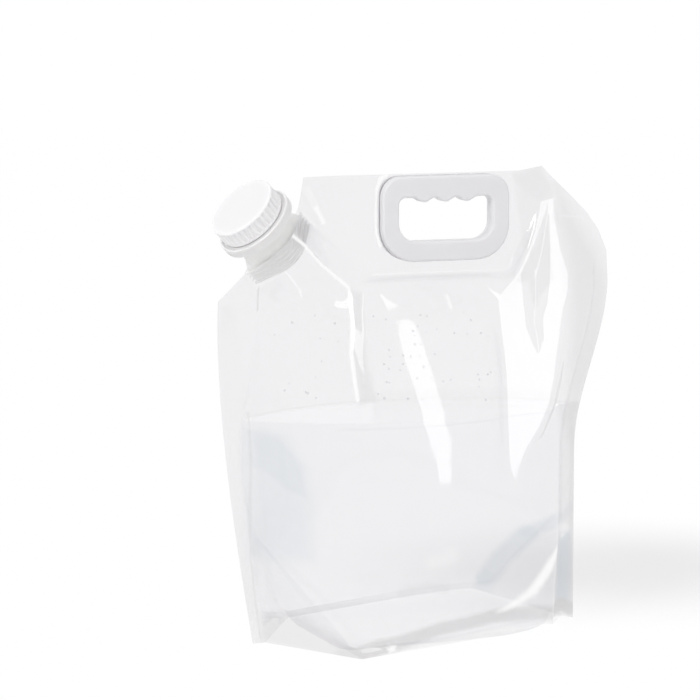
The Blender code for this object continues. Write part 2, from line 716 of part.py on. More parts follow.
def make_fitment(collection, cutters, material):
    """The welded spout: a ribbed canoe between the walls, a flared shoulder, a neck and its thread."""
    rib_length = BOAT_HALF_LENGTH - WELD_CLEARANCE
    rib = BOAT_HALF_WIDTH - WELD_CLEARANCE
    web = rib - WELD_RIB_HEIGHT
    web_length = rib_length - 2 * WELD_RIB_HEIGHT
    pitch = BOAT_DEPTH / WELD_RIB_COUNT
    slope = WELD_RIB_HEIGHT / 2
    outer = [(-BOAT_DEPTH, web, web_length)]
    for count in range(WELD_RIB_COUNT):
        low = -BOAT_DEPTH + pitch * (count + WELD_RIB_START_SHARE)
        high = low + pitch / 2 - slope
        outer += [
            (low, web, web_length),
            (low + slope, rib, rib_length),
            (high, rib, rib_length),
            (high + slope, web, web_length),
        ]
    flange_top = FLANGE_BASE + FLANGE_THICKNESS
    outer += [
        (0, web, web_length),
        (SHOULDER_HEIGHT, NECK_RADIUS, 0.0),
        (FLANGE_BASE, FLANGE_RADIUS - WELD_RIB_HEIGHT, 0.0),
        (FLANGE_BASE, FLANGE_RADIUS, 0.0),
        (flange_top, FLANGE_RADIUS, 0.0),
        (flange_top, NECK_RADIUS, 0.0),
        (NECK_TOP - MM, NECK_RADIUS, 0.0),
        (NECK_TOP, NECK_RADIUS - MM, 0.0),
    ]
    rings = [plan_ring(*level) for level in outer]
    rings += [
        plan_ring(NECK_TOP, NECK_BORE_RADIUS),
        plan_ring(SHOULDER_HEIGHT, NECK_BORE_RADIUS),
        plan_ring(0, BOAT_BORE_RADIUS),
        plan_ring(-BOAT_DEPTH, BOAT_BORE_RADIUS),
    ]
    body = loft("spout_fitment", rings, collection, material, closed=True)
    ridges = thread_ridges("neck_thread", NECK_RADIUS, 1, THREAD_BASE, NECK_THREAD_TURNS, cutters)
    body = join_ridges(body, ridges, collection, material)
    body.matrix_world = spout_frame()
    return body


def fluted_ring(height, radius, depth):
    ring = []
    for i in range(4 * FLUTE_COUNT):
        angle = 2 * math.pi * i / (4 * FLUTE_COUNT)
        reach = radius - depth * (0, 0, 1, 1)[i % 4]
        ring.append((reach * math.cos(angle), reach * math.sin(angle), height))
    return ring


def make_cap(collection, cutters, material):
    """The screw cap: a fluted cup with the mating thread inside its skirt."""
    count = 4 * FLUTE_COUNT
    ceiling = CAP_FACE - CAP_TOP_THICKNESS
    rings = [
        plan_ring(CAP_FOOT, CAP_RADIUS - CAP_EDGE / 2, steps=count),
        fluted_ring(CAP_FOOT + CAP_EDGE, CAP_RADIUS, 0.0),
        fluted_ring(CAP_FOOT + 2 * CAP_EDGE, CAP_RADIUS, FLUTE_DEPTH),
        fluted_ring(CAP_FACE - 2 * CAP_EDGE, CAP_RADIUS, FLUTE_DEPTH),
        fluted_ring(CAP_FACE - CAP_EDGE, CAP_RADIUS, 0.0),
        plan_ring(CAP_FACE - CAP_EDGE / 3, CAP_RADIUS - CAP_EDGE / 3, steps=count),
        plan_ring(CAP_FACE, CAP_RADIUS - CAP_EDGE, steps=count),
    ]
    body = loft("screw_cap", rings, collection, material)
    hollow = loft(
        "cap_hollow",
        [plan_ring(CAP_FOOT - OVERRUN, CAP_BORE_RADIUS), plan_ring(ceiling, CAP_BORE_RADIUS)],
        cutters,
    )
    combine(body, hollow, "DIFFERENCE")
    body = settle(body, collection, material)
    pitch = THREAD_LEAD / THREAD_STARTS
    base = THREAD_BASE + pitch / 2
    ridges = thread_ridges("cap_thread", CAP_BORE_RADIUS, -1, base, CAP_THREAD_TURNS, cutters)
    body = join_ridges(body, ridges, collection, material)
    body.matrix_world = spout_frame()
    return body


def turned(name, profile, collection, material):
    """A closed profile of (radius, height) pairs turned round the spout's axis."""
    rings = [plan_ring(height, radius) for radius, height in profile]
    made = loft(name, rings, collection, material, closed=True)
    made.matrix_world = spout_frame()
    return made


def make_seal(collection, material):
    """The sealing disc that lies in the cap's ceiling."""
    low = NECK_TOP + PIECE_GAP
    high = low + SEAL_THICKNESS
    edge = SEAL_THICKNESS / 4
    rings = [
        plan_ring(low, SEAL_RADIUS - edge),
        plan_ring(low + edge, SEAL_RADIUS),
        plan_ring(high - edge, SEAL_RADIUS),
        plan_ring(high, SEAL_RADIUS - edge),
    ]
    made = loft("cap_sealing_disc", rings, collection, material)
    made.matrix_world = spout_frame()
    return made


def make_collar(collection, material):
    """The wide collar that stays on the neck under the cap: a thin band on a flat web."""
    inner = NECK_RADIUS + COLLAR_CLEARANCE
    low = FLANGE_BASE + FLANGE_THICKNESS + PIECE_GAP
    high = low + COLLAR_HEIGHT
    edge = COLLAR_WALL / 3
    profile = (
        (inner, low),
        (COLLAR_RADIUS - edge, low),
        (COLLAR_RADIUS, low + edge),
        (COLLAR_RADIUS, high - edge),
        (COLLAR_RADIUS - edge, high),
        (COLLAR_RADIUS - COLLAR_WALL, high),
        (COLLAR_RADIUS - COLLAR_WALL, low + COLLAR_WALL),
        (inner, low + COLLAR_WALL),
    )
    return turned("tamper_collar", profile, collection, material)


def make_handle_half(name, side, collection, cutters, material):
    """Half of the handle: a rounded ring with a lip that lines the hand hole, and a bed for the film."""
    bed = PIECE_GAP / 2 + FILM_THICKNESS + PIECE_GAP
    spans = sorted((-side * 2 * HANDLE_EDGE, side * HANDLE_HALF_THICKNESS))
    ring = flat_outline(name, [handle_outline(), grip_outline()], *spans, collection, HANDLE_EDGE)
    beyond = rounded_frame(
        HANDLE_X,
        HANDLE_TOP + OVERRUN,
        HANDLE_LENGTH + 2 * OVERRUN,
        HANDLE_HEIGHT + 2 * OVERRUN,
        GRIP_BOTTOM_RADIUS,
        GRIP_BOTTOM_RADIUS,
    )
    lip_depths = sorted((-side * OVERRUN, side * PIECE_GAP / 2))
    lip_cutter = flat_outline(name + "_lip", [beyond], *lip_depths, cutters)
    combine(ring, lip_cutter, "DIFFERENCE")
    bed_depths = sorted((-side * OVERRUN / 2, side * bed))
    bed_cutter = flat_outline(name + "_bed", [beyond, grip_outline(LIP_WIDTH)], *bed_depths, cutters)
    combine(ring, bed_cutter, "DIFFERENCE")
    tip = HANDLE_HALF_THICKNESS - PIN_REACH / 2
    if side < 0:
        pins = make_pins("clip_pins", -bed - PIN_REACH / 2, tip, PIN_RADIUS, cutters, PIN_CHAMFER)
        combine(ring, pins, "UNION")
    else:
        socket_radius = PIN_RADIUS + PIN_CLEARANCE
        sockets = make_pins("clip_sockets", -OVERRUN, tip + PIECE_GAP, socket_radius, cutters)
        combine(ring, sockets, "DIFFERENCE")
    return settle(ring, collection, material)


def shade(obj):
    obj.data.shade_smooth()
    obj.data.set_sharp_from_angle(angle=math.radians(35))


def main():
    clear_scene()
    parts = new_collection("water_carrier")
    cutters = new_collection("cutters")
    film = new_material("film", FILM_COLOUR, 0.12, 0.45)
    gusset = new_material("gusset_film", GUSSET_COLOUR, 0.2, 0.55)
    cap = new_material("cap_plastic", CAP_COLOUR, 0.35)
    spout = new_material("spout_plastic", SPOUT_COLOUR, 0.4)
    seal = new_material("seal_foam", SEAL_COLOUR, 0.6)
    handle = new_material("handle_plastic", HANDLE_COLOUR, 0.35)

    tools = make_film_tools(cutters)
    made = [
        make_wall("front_wall_film", -1, parts, tools, film),
        make_wall("rear_wall_film", 1, parts, tools, film),
        make_gusset(parts, gusset),
        make_fitment(parts, cutters, spout),
        make_cap(parts, cutters, cap),
        make_seal(parts, seal),
        make_collar(parts, cap),
        make_handle_half("handle_front_half", -1, parts, cutters, handle),
        make_handle_half("handle_rear_half", 1, parts, cutters, handle),
    ]
    for piece in made:
        shade(piece)


main()
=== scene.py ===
import math

import bpy
import numpy as np
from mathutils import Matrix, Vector
from mathutils.geometry import delaunay_2d_cdt


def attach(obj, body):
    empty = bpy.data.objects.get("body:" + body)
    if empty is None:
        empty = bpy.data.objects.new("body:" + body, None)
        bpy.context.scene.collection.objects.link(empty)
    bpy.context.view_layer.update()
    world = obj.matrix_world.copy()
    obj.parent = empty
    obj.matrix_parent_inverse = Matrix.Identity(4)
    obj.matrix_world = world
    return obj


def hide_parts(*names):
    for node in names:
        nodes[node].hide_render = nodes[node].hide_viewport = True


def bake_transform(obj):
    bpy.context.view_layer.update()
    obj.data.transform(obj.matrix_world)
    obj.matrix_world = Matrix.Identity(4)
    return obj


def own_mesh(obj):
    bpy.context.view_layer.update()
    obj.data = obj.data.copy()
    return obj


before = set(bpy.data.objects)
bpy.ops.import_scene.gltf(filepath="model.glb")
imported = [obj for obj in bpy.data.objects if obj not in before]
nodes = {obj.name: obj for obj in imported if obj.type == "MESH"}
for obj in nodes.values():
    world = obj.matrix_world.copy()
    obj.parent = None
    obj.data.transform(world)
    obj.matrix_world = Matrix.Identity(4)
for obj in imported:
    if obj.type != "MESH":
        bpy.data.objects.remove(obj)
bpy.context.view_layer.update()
mm = 0.001


# Shader helpers


class Num:
    # a number inside a shader; sums on it add Math nodes
    def __init__(self, tree, socket):
        self.tree = tree
        self.socket = socket

    def math(self, operation, *others):
        node = self.tree.nodes.new("ShaderNodeMath")
        node.operation = operation
        for slot, value in zip(node.inputs, (self, *others)):
            feed(self.tree, slot, value)
        return Num(self.tree, node.outputs[0])

    def __add__(self, other):
        return self.math("ADD", other)

    def __sub__(self, other):
        return self.math("SUBTRACT", other)

    def __rsub__(self, other):
        return (self * -1) + other

    def __mul__(self, other):
        return self.math("MULTIPLY", other)

    __radd__ = __add__
    __rmul__ = __mul__

    def power(self, other):
        return self.math("POWER", other)

    def least(self, other):
        return self.math("MINIMUM", other)

    def most(self, other):
        return self.math("MAXIMUM", other)

    def step(self, low, high):
        # 0 at low, 1 at high, smooth between
        node = self.tree.nodes.new("ShaderNodeMapRange")
        node.interpolation_type = "SMOOTHSTEP"
        for name, value in (("Value", self), ("From Min", low), ("From Max", high)):
            feed(self.tree, node.inputs[name], value)
        return Num(self.tree, node.outputs[0])


def feed(tree, slot, value):
    if isinstance(value, Num):
        tree.links.new(value.socket, slot)
    elif isinstance(value, bpy.types.NodeSocket):
        tree.links.new(value, slot)
    else:
        slot.default_value = value


class Finish:
    # one material, or the world: its nodes come from node(), its numbers from Num
    def __init__(self, name, world=False):
        self.owner = (bpy.data.worlds if world else bpy.data.materials).new(name)
        self.owner.use_nodes = True
        self.tree = self.owner.node_tree
        self.tree.nodes.clear()
        self.out = self.node("OutputWorld" if world else "OutputMaterial")

    def node(self, kind, settings=None, values=None):
        made = self.tree.nodes.new("ShaderNode" + kind)
        for name, value in (settings or {}).items():
            setattr(made, name, value)
        for name, value in (values or {}).items():
            feed(self.tree, made.inputs[name], value)
        return made

    def num(self, socket):
        return Num(self.tree, socket)

    def place(self):
        # the piece's own x, y and z in metres
        split = self.node("SeparateXYZ", None, {0: self.coords()})
        return [self.num(socket) for socket in split.outputs]

    def coords(self):
        return self.node("TexCoord").outputs["Object"]

    def mark(self, name):
        # a number that the mesh holds at each point
        return self.num(self.node("Attribute", {"attribute_name": name}).outputs["Fac"])

    def noise(self, scale, detail=2.0, stretch=None, roughness=0.5):
        vector = self.coords()
        if stretch:
            vector = self.node("Mapping", None, {"Vector": vector, "Scale": stretch}).outputs[0]
        made = self.node("TexNoise", None, {
            "Vector": vector, "Scale": scale, "Detail": detail, "Roughness": roughness})
        return self.num(made.outputs["Fac"])

    def seen(self):
        # 1 for the camera's view, be it straight, mirrored or through something clear
        path = self.node("LightPath")
        rays = [self.num(path.outputs["Is %s Ray" % kind]) for kind in ("Camera", "Transmission", "Glossy")]
        return rays[0].most(rays[1]).most(rays[2])

    def facing(self):
        # 0 where the surface is seen head on, 1 at its edge
        return self.num(self.node("LayerWeight", None, {"Blend": 0.5}).outputs["Facing"])

    def schlick(self, straight):
        # how much a clear surface mirrors
        return self.facing().power(5) * (1 - straight) + straight

    def colours(self, share, first, second):
        made = self.node("Mix", {"data_type": "RGBA"}, {0: share})
        for slot, colour in ((6, first), (7, second)):
            feed(self.tree, made.inputs[slot], (*colour, 1))
        return made.outputs[2]

    def bump(self, height, distance, strength=1.0):
        return self.node("Bump", None, {
            "Height": height, "Distance": distance, "Strength": strength}).outputs[0]

    def clear(self, colour):
        return self.node("BsdfTransparent", None, {"Color": colour}).outputs[0]

    def gloss(self, roughness, normal=None):
        values = {"Color": (1, 1, 1, 1), "Roughness": roughness}
        if normal is not None:
            values["Normal"] = normal
        return self.node("BsdfGlossy", None, values).outputs[0]

    def plastic(self, colour, values):
        return self.node("BsdfPrincipled", None, {"Base Color": colour, **values}).outputs[0]

    def glow(self, strength):
        return self.node("Emission", None, {"Color": (1, 1, 1, 1), "Strength": strength}).outputs[0]

    def mix(self, share, first, second):
        return self.node("MixShader", None, {0: share, 1: first, 2: second}).outputs[0]

    def done(self, shader):
        self.tree.links.new(shader, self.out.inputs["Surface"])
        return self.owner


# Mesh helpers


def dress(obj, *materials):
    obj.data.materials.clear()
    for material in materials:
        obj.data.materials.append(material)


def addMesh(name, verts, faces, materials=(), sharpAngle=None):
    mesh = bpy.data.meshes.new(name)
    mesh.from_pydata([tuple(v) for v in verts], [], [tuple(int(i) for i in f) for f in faces])
    mesh.update()
    obj = bpy.data.objects.new(name, mesh)
    bpy.context.scene.collection.objects.link(obj)
    if sharpAngle:
        mesh.shade_smooth()
        mesh.set_sharp_from_angle(angle=math.radians(sharpAngle))
    dress(obj, *materials)
    return obj


def setMark(obj, name, values):
    attribute = obj.data.attributes.new(name, "FLOAT", "POINT")
    attribute.data.foreach_set("value", np.asarray(values, np.float32))


def meshPoints(obj):
    points = np.zeros(len(obj.data.vertices) * 3)
    obj.data.vertices.foreach_get("co", points)
    return points.reshape(-1, 3)


def pointNormals(verts, faces):
    a, b, c = (verts[faces[:, i]] for i in range(3))
    cross = np.cross(b - a, c - a)
    normals = np.zeros_like(verts)
    for i in range(3):
        np.add.at(normals, faces[:, i], cross)
    return normals / np.maximum(np.linalg.norm(normals, axis=1, keepdims=True), 1e-12)


def thicken(verts, faces, thickness):
    # the sheet moved outwards, its own face as the inner one, and the cut edge between
    count = len(verts)
    outer = verts + pointNormals(verts, faces) * thickness
    edges = np.concatenate([faces[:, [0, 1]], faces[:, [1, 2]], faces[:, [2, 0]]])
    keys, counts = np.unique(np.sort(edges, axis=1), axis=0, return_counts=True)
    single = {tuple(key) for key in keys[counts == 1]}
    rim = [(b, a, a + count, b + count) for a, b in edges if (min(a, b), max(a, b)) in single]
    inner = faces[:, ::-1] + count
    allFaces = [tuple(f) for f in faces] + [tuple(f) for f in inner] + rim
    skins = [0] * len(faces) + [1] * len(inner) + [0] * len(rim)
    return np.concatenate([outer, verts]), allFaces, skins


def ease(low, high, value):
    share = np.clip((value - low) / (high - low), 0, 1)
    return share * share * (3 - 2 * share)


def curveRead(table, at):
    # smooth reading of a table, flat where two values are the same
    places = np.array([p for p, _ in table])
    values = np.array([v for _, v in table])
    slopes = np.zeros(len(table))
    for i in range(len(table)):
        a, b = max(0, i - 1), min(len(table) - 1, i + 1)
        if i in (0, len(table) - 1) or (values[i] != values[a] and values[i] != values[b]):
            slopes[i] = (values[b] - values[a]) / (places[b] - places[a])
    at = np.clip(at, places[0], places[-1])
    i = np.clip(np.searchsorted(places, at, side="left") - 1, 0, len(table) - 2)
    span = places[i + 1] - places[i]
    t = (at - places[i]) / span
    return (values[i] * (1 + 2 * t) * (1 - t) ** 2 + values[i + 1] * t * t * (3 - 2 * t)
            + slopes[i] * span * t * (1 - t) ** 2 - slopes[i + 1] * span * t * t * (1 - t))


def lined(points):
    # a line in millimetres, as metres
    return [(x * mm, z * mm) for x, z in points]


def insideLine(points, loop):
    # which points lie inside a closed line
    x, z = points[:, 0], points[:, 1]
    inside = np.zeros(len(points), bool)
    for (ax, az), (bx, bz) in zip(loop, loop[1:] + loop[:1]):
        if az == bz:
            continue
        crosses = (az > z) != (bz > z)
        inside ^= crosses & (x < (bx - ax) * (z - az) / (bz - az) + ax)
    return inside


def distanceTo(points, line, closed=True):
    best = np.full(len(points), 1e9)
    ends = line[1:] + line[:1] if closed else line[1:]
    for a, b in zip(line, ends):
        a, b = np.array(a), np.array(b)
        d = b - a
        t = np.clip(((points - a) @ d) / max(d @ d, 1e-18), 0, 1)
        best = np.minimum(best, np.linalg.norm(points - a - t[:, None] * d, axis=1))
    return best


def depthInside(points, loop):
    # distance to a closed line, below zero outside it
    return np.where(insideLine(points, loop), 1, -1) * distanceTo(points, loop)


def resample(points, step):
    # the same closed line with points no further apart than step
    made = []
    for (ax, az), (bx, bz) in zip(points, points[1:] + points[:1]):
        count = max(1, math.ceil(math.hypot(bx - ax, bz - az) / step))
        made += [(ax + (bx - ax) * i / count, az + (bz - az) * i / count) for i in range(count)]
    return made


def triangleNet(box, step):
    (x0, z0), (x1, z1) = box
    rowHeight = step * math.sqrt(3) / 2
    rows = np.arange(int((z1 - z0) / rowHeight) + 1)
    return np.concatenate([
        np.stack([xs, np.full(len(xs), z0 + row * rowHeight)], axis=1)
        for row in rows for xs in [np.arange(x0 + (row % 2) * step / 2, x1, step)]])


def flatSheet(outer, holes, step, fineLines=(), fineStep=0.75 * mm, fineWidth=2.2 * mm):
    # a net of triangles on a flat outline with holes, finer along some lines
    loops = [resample(loop, step) for loop in [outer] + holes]
    box = [tuple(f(p[i] for p in outer) for i in (0, 1)) for f in (min, max)]
    coarse = triangleNet(box, step)
    fine = triangleNet(box, fineStep)
    nearCoarse = np.full(len(coarse), 1e9)
    nearFine = np.full(len(fine), 1e9)
    for line in fineLines:
        nearCoarse = np.minimum(nearCoarse, distanceTo(coarse, line, False))
        nearFine = np.minimum(nearFine, distanceTo(fine, line, False))
    net = np.concatenate([coarse[nearCoarse > fineWidth + step / 2], fine[nearFine < fineWidth]])
    keep = insideLine(net, loops[0])
    for loop in loops[1:]:
        keep &= ~insideLine(net, loop)
    for loop in loops:
        keep &= distanceTo(net, loop) > step * 0.55
    net = net[keep]
    verts = [p for loop in loops for p in loop]
    edges, start = [], 0
    for loop in loops:
        edges += [(start + i, start + (i + 1) % len(loop)) for i in range(len(loop))]
        start += len(loop)
    verts = [Vector(p) for p in verts] + [Vector(p) for p in net]
    found = delaunay_2d_cdt(verts, edges, [], 0, 1e-7)
    points = np.array([tuple(v) for v in found[0]])
    faces = np.array([f for f in found[2] if len(f) == 3])
    middles = points[faces].mean(axis=1)
    good = insideLine(middles, loops[0])
    for loop in loops[1:]:
        good &= ~insideLine(middles, loop)
    return points, faces[good]


# The pouch's shape, as in the frame

pouch = {
    "height": 330 * mm,
    "halfWidth": 150 * mm,
    "footHalfWidth": 124.5 * mm,
    "halfDepth": 78 * mm,
    "film": 0.5 * mm,
    "gap": 0.3 * mm,
    "seal": 10 * mm,
    "leftShoulder": 241 * mm,
    "rightShoulder": 250 * mm,
    "rightFlare": 128 * mm,
    "topLeftX": -88 * mm,
    "cutTopX": -93 * mm,
    "gussetSeal": 84 * mm,
    "baseSeal": 7 * mm,
    "flatTop": 258 * mm,
    "footLift": 13 * mm,
    "liftFrom": -72 * mm,
    "liftTo": 72 * mm,
    "knee": 0.62,
    "kneeLimit": 0.97,
    "lensPower": 0.86,
    "swellFade": 90 * mm,
    "swellSpread": 0.1,
    "rightRise": 38 * mm,
    "swellBlend": 12 * mm,
    "flatShoulder": 20 * mm,
    "topRight": ((0.992, 0.82), (0.948, 0.866), (0.885, 0.905), (0.795, 0.945), (0.7, 0.984),
                 (0.646, 1.009), (0.53, 1.0)),
    "depths": ((0.0, 0.95), (0.06, 0.99), (0.12, 1.0), (0.25, 0.92), (0.36, 0.81), (0.48, 0.69),
               (0.58, 0.56), (0.67, 0.38), (0.73, 0.19), (0.77, 0.05), (0.785, 0.0), (1.01, 0.0)),
    "easeSpan": 28 * mm,
    "grid": 2.0 * mm,
}

spout = {
    "x": -110.1 * mm,
    "z": 284.5 * mm,
    "tilt": math.radians(45),
    "lean": math.radians(12.5),
    "leanReach": 48 * mm,
    "leanFade": 84 * mm,
    "halfWidth": 20.5 * mm,
    "halfLength": 30 * mm,
    "depth": 13 * mm,
}

handle = {
    "x": 20.5 * mm,
    "top": 328.5 * mm,
    "length": 98 * mm,
    "grip": (72 * mm, 31 * mm),
    "gripRadii": (7 * mm, 15 * mm),
    "bar": 15.5 * mm,
    "lip": 2.4 * mm,
}


def leftEdge(z):
    climb = np.sin(math.pi / 2 * np.clip(z / pouch["leftShoulder"], 0, 1))
    return -(pouch["footHalfWidth"] + (pouch["halfWidth"] - pouch["footHalfWidth"]) * climb)


def rightEdge(z):
    flare = ease(pouch["rightFlare"], pouch["rightShoulder"], z)
    return pouch["footHalfWidth"] + (pouch["halfWidth"] - pouch["footHalfWidth"]) * flare


def footLift(x):
    rising = (x - pouch["liftFrom"]) / (pouch["liftTo"] - pouch["liftFrom"])
    falling = (pouch["footHalfWidth"] - x) / (pouch["footHalfWidth"] - pouch["liftTo"])
    return pouch["footLift"] * np.clip(np.where(x <= pouch["liftTo"], rising, falling), 0, None)


def spoutPlace(x, z):
    c, s = math.cos(spout["tilt"]), math.sin(spout["tilt"])
    return (x - spout["x"]) * c + (z - spout["z"]) * s, (x - spout["x"]) * s - (z - spout["z"]) * c


def boatHalfWidth(across, halfLength):
    flank = np.arccos(spout["halfWidth"] / halfLength)
    across = np.abs(across)
    round_ = np.sqrt(np.clip(spout["halfWidth"] ** 2 - across ** 2, 0, None))
    straight = np.clip((spout["halfWidth"] - across * np.cos(flank)) / np.sin(flank), 0, None)
    return np.where(across <= spout["halfWidth"] * np.cos(flank), round_, straight)


def sealLines(z):
    # x of the side seals' inner lines
    fin = pouch["seal"] + pouch["flatShoulder"] * ease(pouch["leftShoulder"] / 2, pouch["leftShoulder"], z)
    return leftEdge(z) + fin, rightEdge(z) - pouch["seal"]


def kneeShare(z):
    # how far out the bottom film meets a wall, as a share of the half width
    climb = np.clip(z / pouch["gussetSeal"], 0, 1)
    return pouch["knee"] + (1 - pouch["knee"]) * climb


def bodyDepth(x, z):
    left, right = sealLines(z)
    side = np.clip(2 * (x - left) / (right - left) - 1, -1, 1)
    rise = pouch["rightRise"] * ease(
        handle["x"] + handle["length"] / 2, pouch["halfWidth"] - spout["leanReach"], x)
    level = z * pouch["flatTop"] / (pouch["flatTop"] + rise)
    depth = pouch["halfDepth"] * curveRead(pouch["depths"], level / pouch["height"])
    facet = np.clip(1 - z / pouch["gussetSeal"], 0, None)
    knee = kneeShare(z)
    kneeDepth = np.minimum(depth, pouch["halfDepth"] * facet)
    outer = kneeDepth * (1 - np.abs(side)) / np.maximum(1 - knee, 1e-9)
    lens = (1 - np.clip(np.abs(side) / knee, 0, 1) ** 2) ** pouch["lensPower"]
    inner = kneeDepth + (depth - kneeDepth) * lens
    return np.where(np.abs(side) > knee, outer, inner)


def middleLean(x, z):
    across, inwards = spoutPlace(x, z)
    slope = math.tan(spout["lean"]) * (1 - ease(spout["halfLength"], spout["leanFade"], np.abs(across)))
    reach = spout["leanReach"]
    return np.where(inwards < 0, slope * (reach / 2 - inwards),
                    slope * np.clip(reach - inwards, 0, None) ** 2 / (2 * reach))


def wallDepth(x, z):
    # from the film's middle surface to the inner face of either wall
    body = bodyDepth(x, z)
    across, inwards = spoutPlace(x, z)
    free = np.clip(inwards - spout["depth"], 0, None)
    swell = boatHalfWidth(across, spout["halfLength"] + pouch["swellSpread"] * free)
    swell = swell * (1 - ease(0, pouch["swellFade"], free))
    room = np.minimum(pouch["swellBlend"], free / 2)
    near = np.clip(room - np.abs(body - swell), 0, None)
    lift = np.where(room > 0, near * near / np.maximum(4 * room, 1e-9), 0)
    return np.maximum(body, swell) + lift * ease(0, pouch["swellBlend"], np.maximum(body, swell))


def easedDepth(x, z):
    # the same, with no crease across the film at the top of the bottom film's seals
    spread = pouch["seal"] * (1 - ease(0, pouch["easeSpan"], np.abs(z - pouch["gussetSeal"])))
    steps = (-1, -0.5, 0, 0.5, 1)
    return sum(wallDepth(x, z + step * spread) for step in steps) / len(steps)


def pouchOutline():
    def run(edge, low, high):
        heights = np.arange(low, high, pouch["grid"])
        return [(float(edge(z)), float(z)) for z in heights]

    cutX = -pouch["halfWidth"]
    slope = math.tan(spout["tilt"])
    cutFoot = (cutX, spout["z"] + (cutX - spout["x"]) * slope)
    cutTop = (pouch["cutTopX"], spout["z"] + (pouch["cutTopX"] - spout["x"]) * slope)
    points = run(rightEdge, 0, pouch["rightShoulder"])
    points += [(x * pouch["halfWidth"], z * pouch["height"]) for x, z in pouch["topRight"]]
    points += [(pouch["topLeftX"], pouch["height"]), cutTop, cutFoot]
    points += list(reversed(run(leftEdge, 0, pouch["leftShoulder"])))
    return points + [(pouch["liftFrom"], 0), (pouch["liftTo"], pouch["footLift"])]


def gripHole():
    # the hand hole in the film, with round corners
    length, height = (size + 2 * handle["lip"] for size in handle["grip"])
    top = handle["top"] - handle["bar"] + handle["lip"]
    topRadius, bottomRadius = handle["gripRadii"]
    left, right, low = handle["x"] - length / 2, handle["x"] + length / 2, top - height
    steps = 10

    def arc(cx, cz, radius, start):
        angles = [math.radians(start + 90 * i / steps) for i in range(steps + 1)]
        return [(cx + radius * math.cos(a), cz + radius * math.sin(a)) for a in angles]

    return (arc(left + bottomRadius, low + bottomRadius, bottomRadius, 180)
            + arc(right - bottomRadius, low + bottomRadius, bottomRadius, 270)
            + arc(right - topRadius, top - topRadius, topRadius, 0)
            + arc(left + topRadius, top - topRadius, topRadius, 90))


# Folds and flat facets that the pull of the handle and the water's weight give the front film

folds = {
    "stripe": (lined(((-23.5, 228.5), (-25.4, 226), (-25.8, 220), (-25.5, 209), (-21.5, 189),
                      (-17.5, 167), (-12.5, 143.5), (-9, 130), (-9, 117.5))),
               lined(((-15, 229), (-12.6, 226), (-11.2, 220), (-9, 209), (-5, 189), (-0.5, 167),
                      (2.5, 143.5), (2, 130), (0, 117.5)))),
    "corner": lined(((107.5, 314), (101, 309), (95.5, 303.5), (89, 286), (83, 273.5), (76, 261.5), (70, 254),
                     (61, 243), (56.5, 234), (56.5, 217.5), (57, 198), (57, 186), (55, 156.5),
                     (54, 125), (55.5, 118), (65, 134.5), (77, 149.5), (87, 166.5), (92.5, 184), (100, 215),
                     (107, 253.5), (107.5, 276), (106, 300))),
    "cornerAim": (20.6, 20.6),
    "cornerNet": 3 * mm,
    "cornerFade": 8 * mm,
    "cornerHold": 4 * mm,
    "diamond": lined(((102.5, 306), (93.5, 287.5), (87, 275), (81.5, 266), (75.5, 257.5), (75.5, 232),
                      (75.5, 220), (79.5, 207), (83, 199.5), (88, 210), (89, 224), (93.5, 234.5),
                      (97.5, 251.5), (100, 271.5), (101.5, 290.5))),
    "diamondSpine": lined(((103, 307), (93, 270), (84, 235), (82.5, 200))),
    "diamondSlope": 0.11,
    "steady": 0.8 * mm,
    "steadyAt": (118 * mm, 22 * mm),
    "topFull": 2.8 * mm,
    "topFullAt": (251 * mm, 20 * mm),
    "topFullFrom": (-60 * mm, -30 * mm),
    "topFullDepth": 5 * mm,
    "ridge": lined(((-103.6, 291.5), (-92.6, 283.2), (-79.3, 269.8), (-55.9, 251.9), (-54.8, 245.1),
                    (-61.5, 207.8), (-61, 176.2))),
    "ridgeHeight": 1.4 * mm,
    "ridgeLeft": 24 * mm,
    "ridgeRight": 8 * mm,
    "ridgeRound": 1.2 * mm,
    "ridgeFoot": (24 * mm, 14 * mm),
    "ridgeTop": 6 * mm,
}
cameraPlace = np.array((-0.8745, -2.1332, 0.496))


def aimed(azimuth, elevation):
    # a direction: azimuth from the front towards +X, elevation upwards, in degrees
    a, e = math.radians(azimuth), math.radians(elevation)
    return np.array([math.sin(a) * math.cos(e), -math.cos(a) * math.cos(e), math.sin(e)])


def unit(vectors):
    return vectors / np.linalg.norm(vectors, axis=-1, keepdims=True)


def facetPlane(loop, aim):
    # the plane depth = a + b x + c z that mirrors a lamp at an azimuth and elevation
    box = [tuple(f(p[i] for p in loop) for i in (0, 1)) for f in (min, max)]
    points = triangleNet(box, folds["cornerNet"])
    points = points[insideLine(points, loop)]
    depths = wallDepth(points[:, 0], points[:, 1])
    middle = np.array([points[:, 0].mean(), -depths.mean(), points[:, 1].mean()])
    normal = unit(unit(cameraPlace - middle) + aimed(*aim))
    b, c = normal[0] / normal[1], normal[2] / normal[1]
    return (depths - b * points[:, 0] - c * points[:, 1]).mean(), b, c


cornerPlane = facetPlane(folds["corner"], folds["cornerAim"])


def fullness(z, name):
    at, width = folds[name + "At"]
    return folds[name] * np.exp(-((z - at) / width) ** 2)


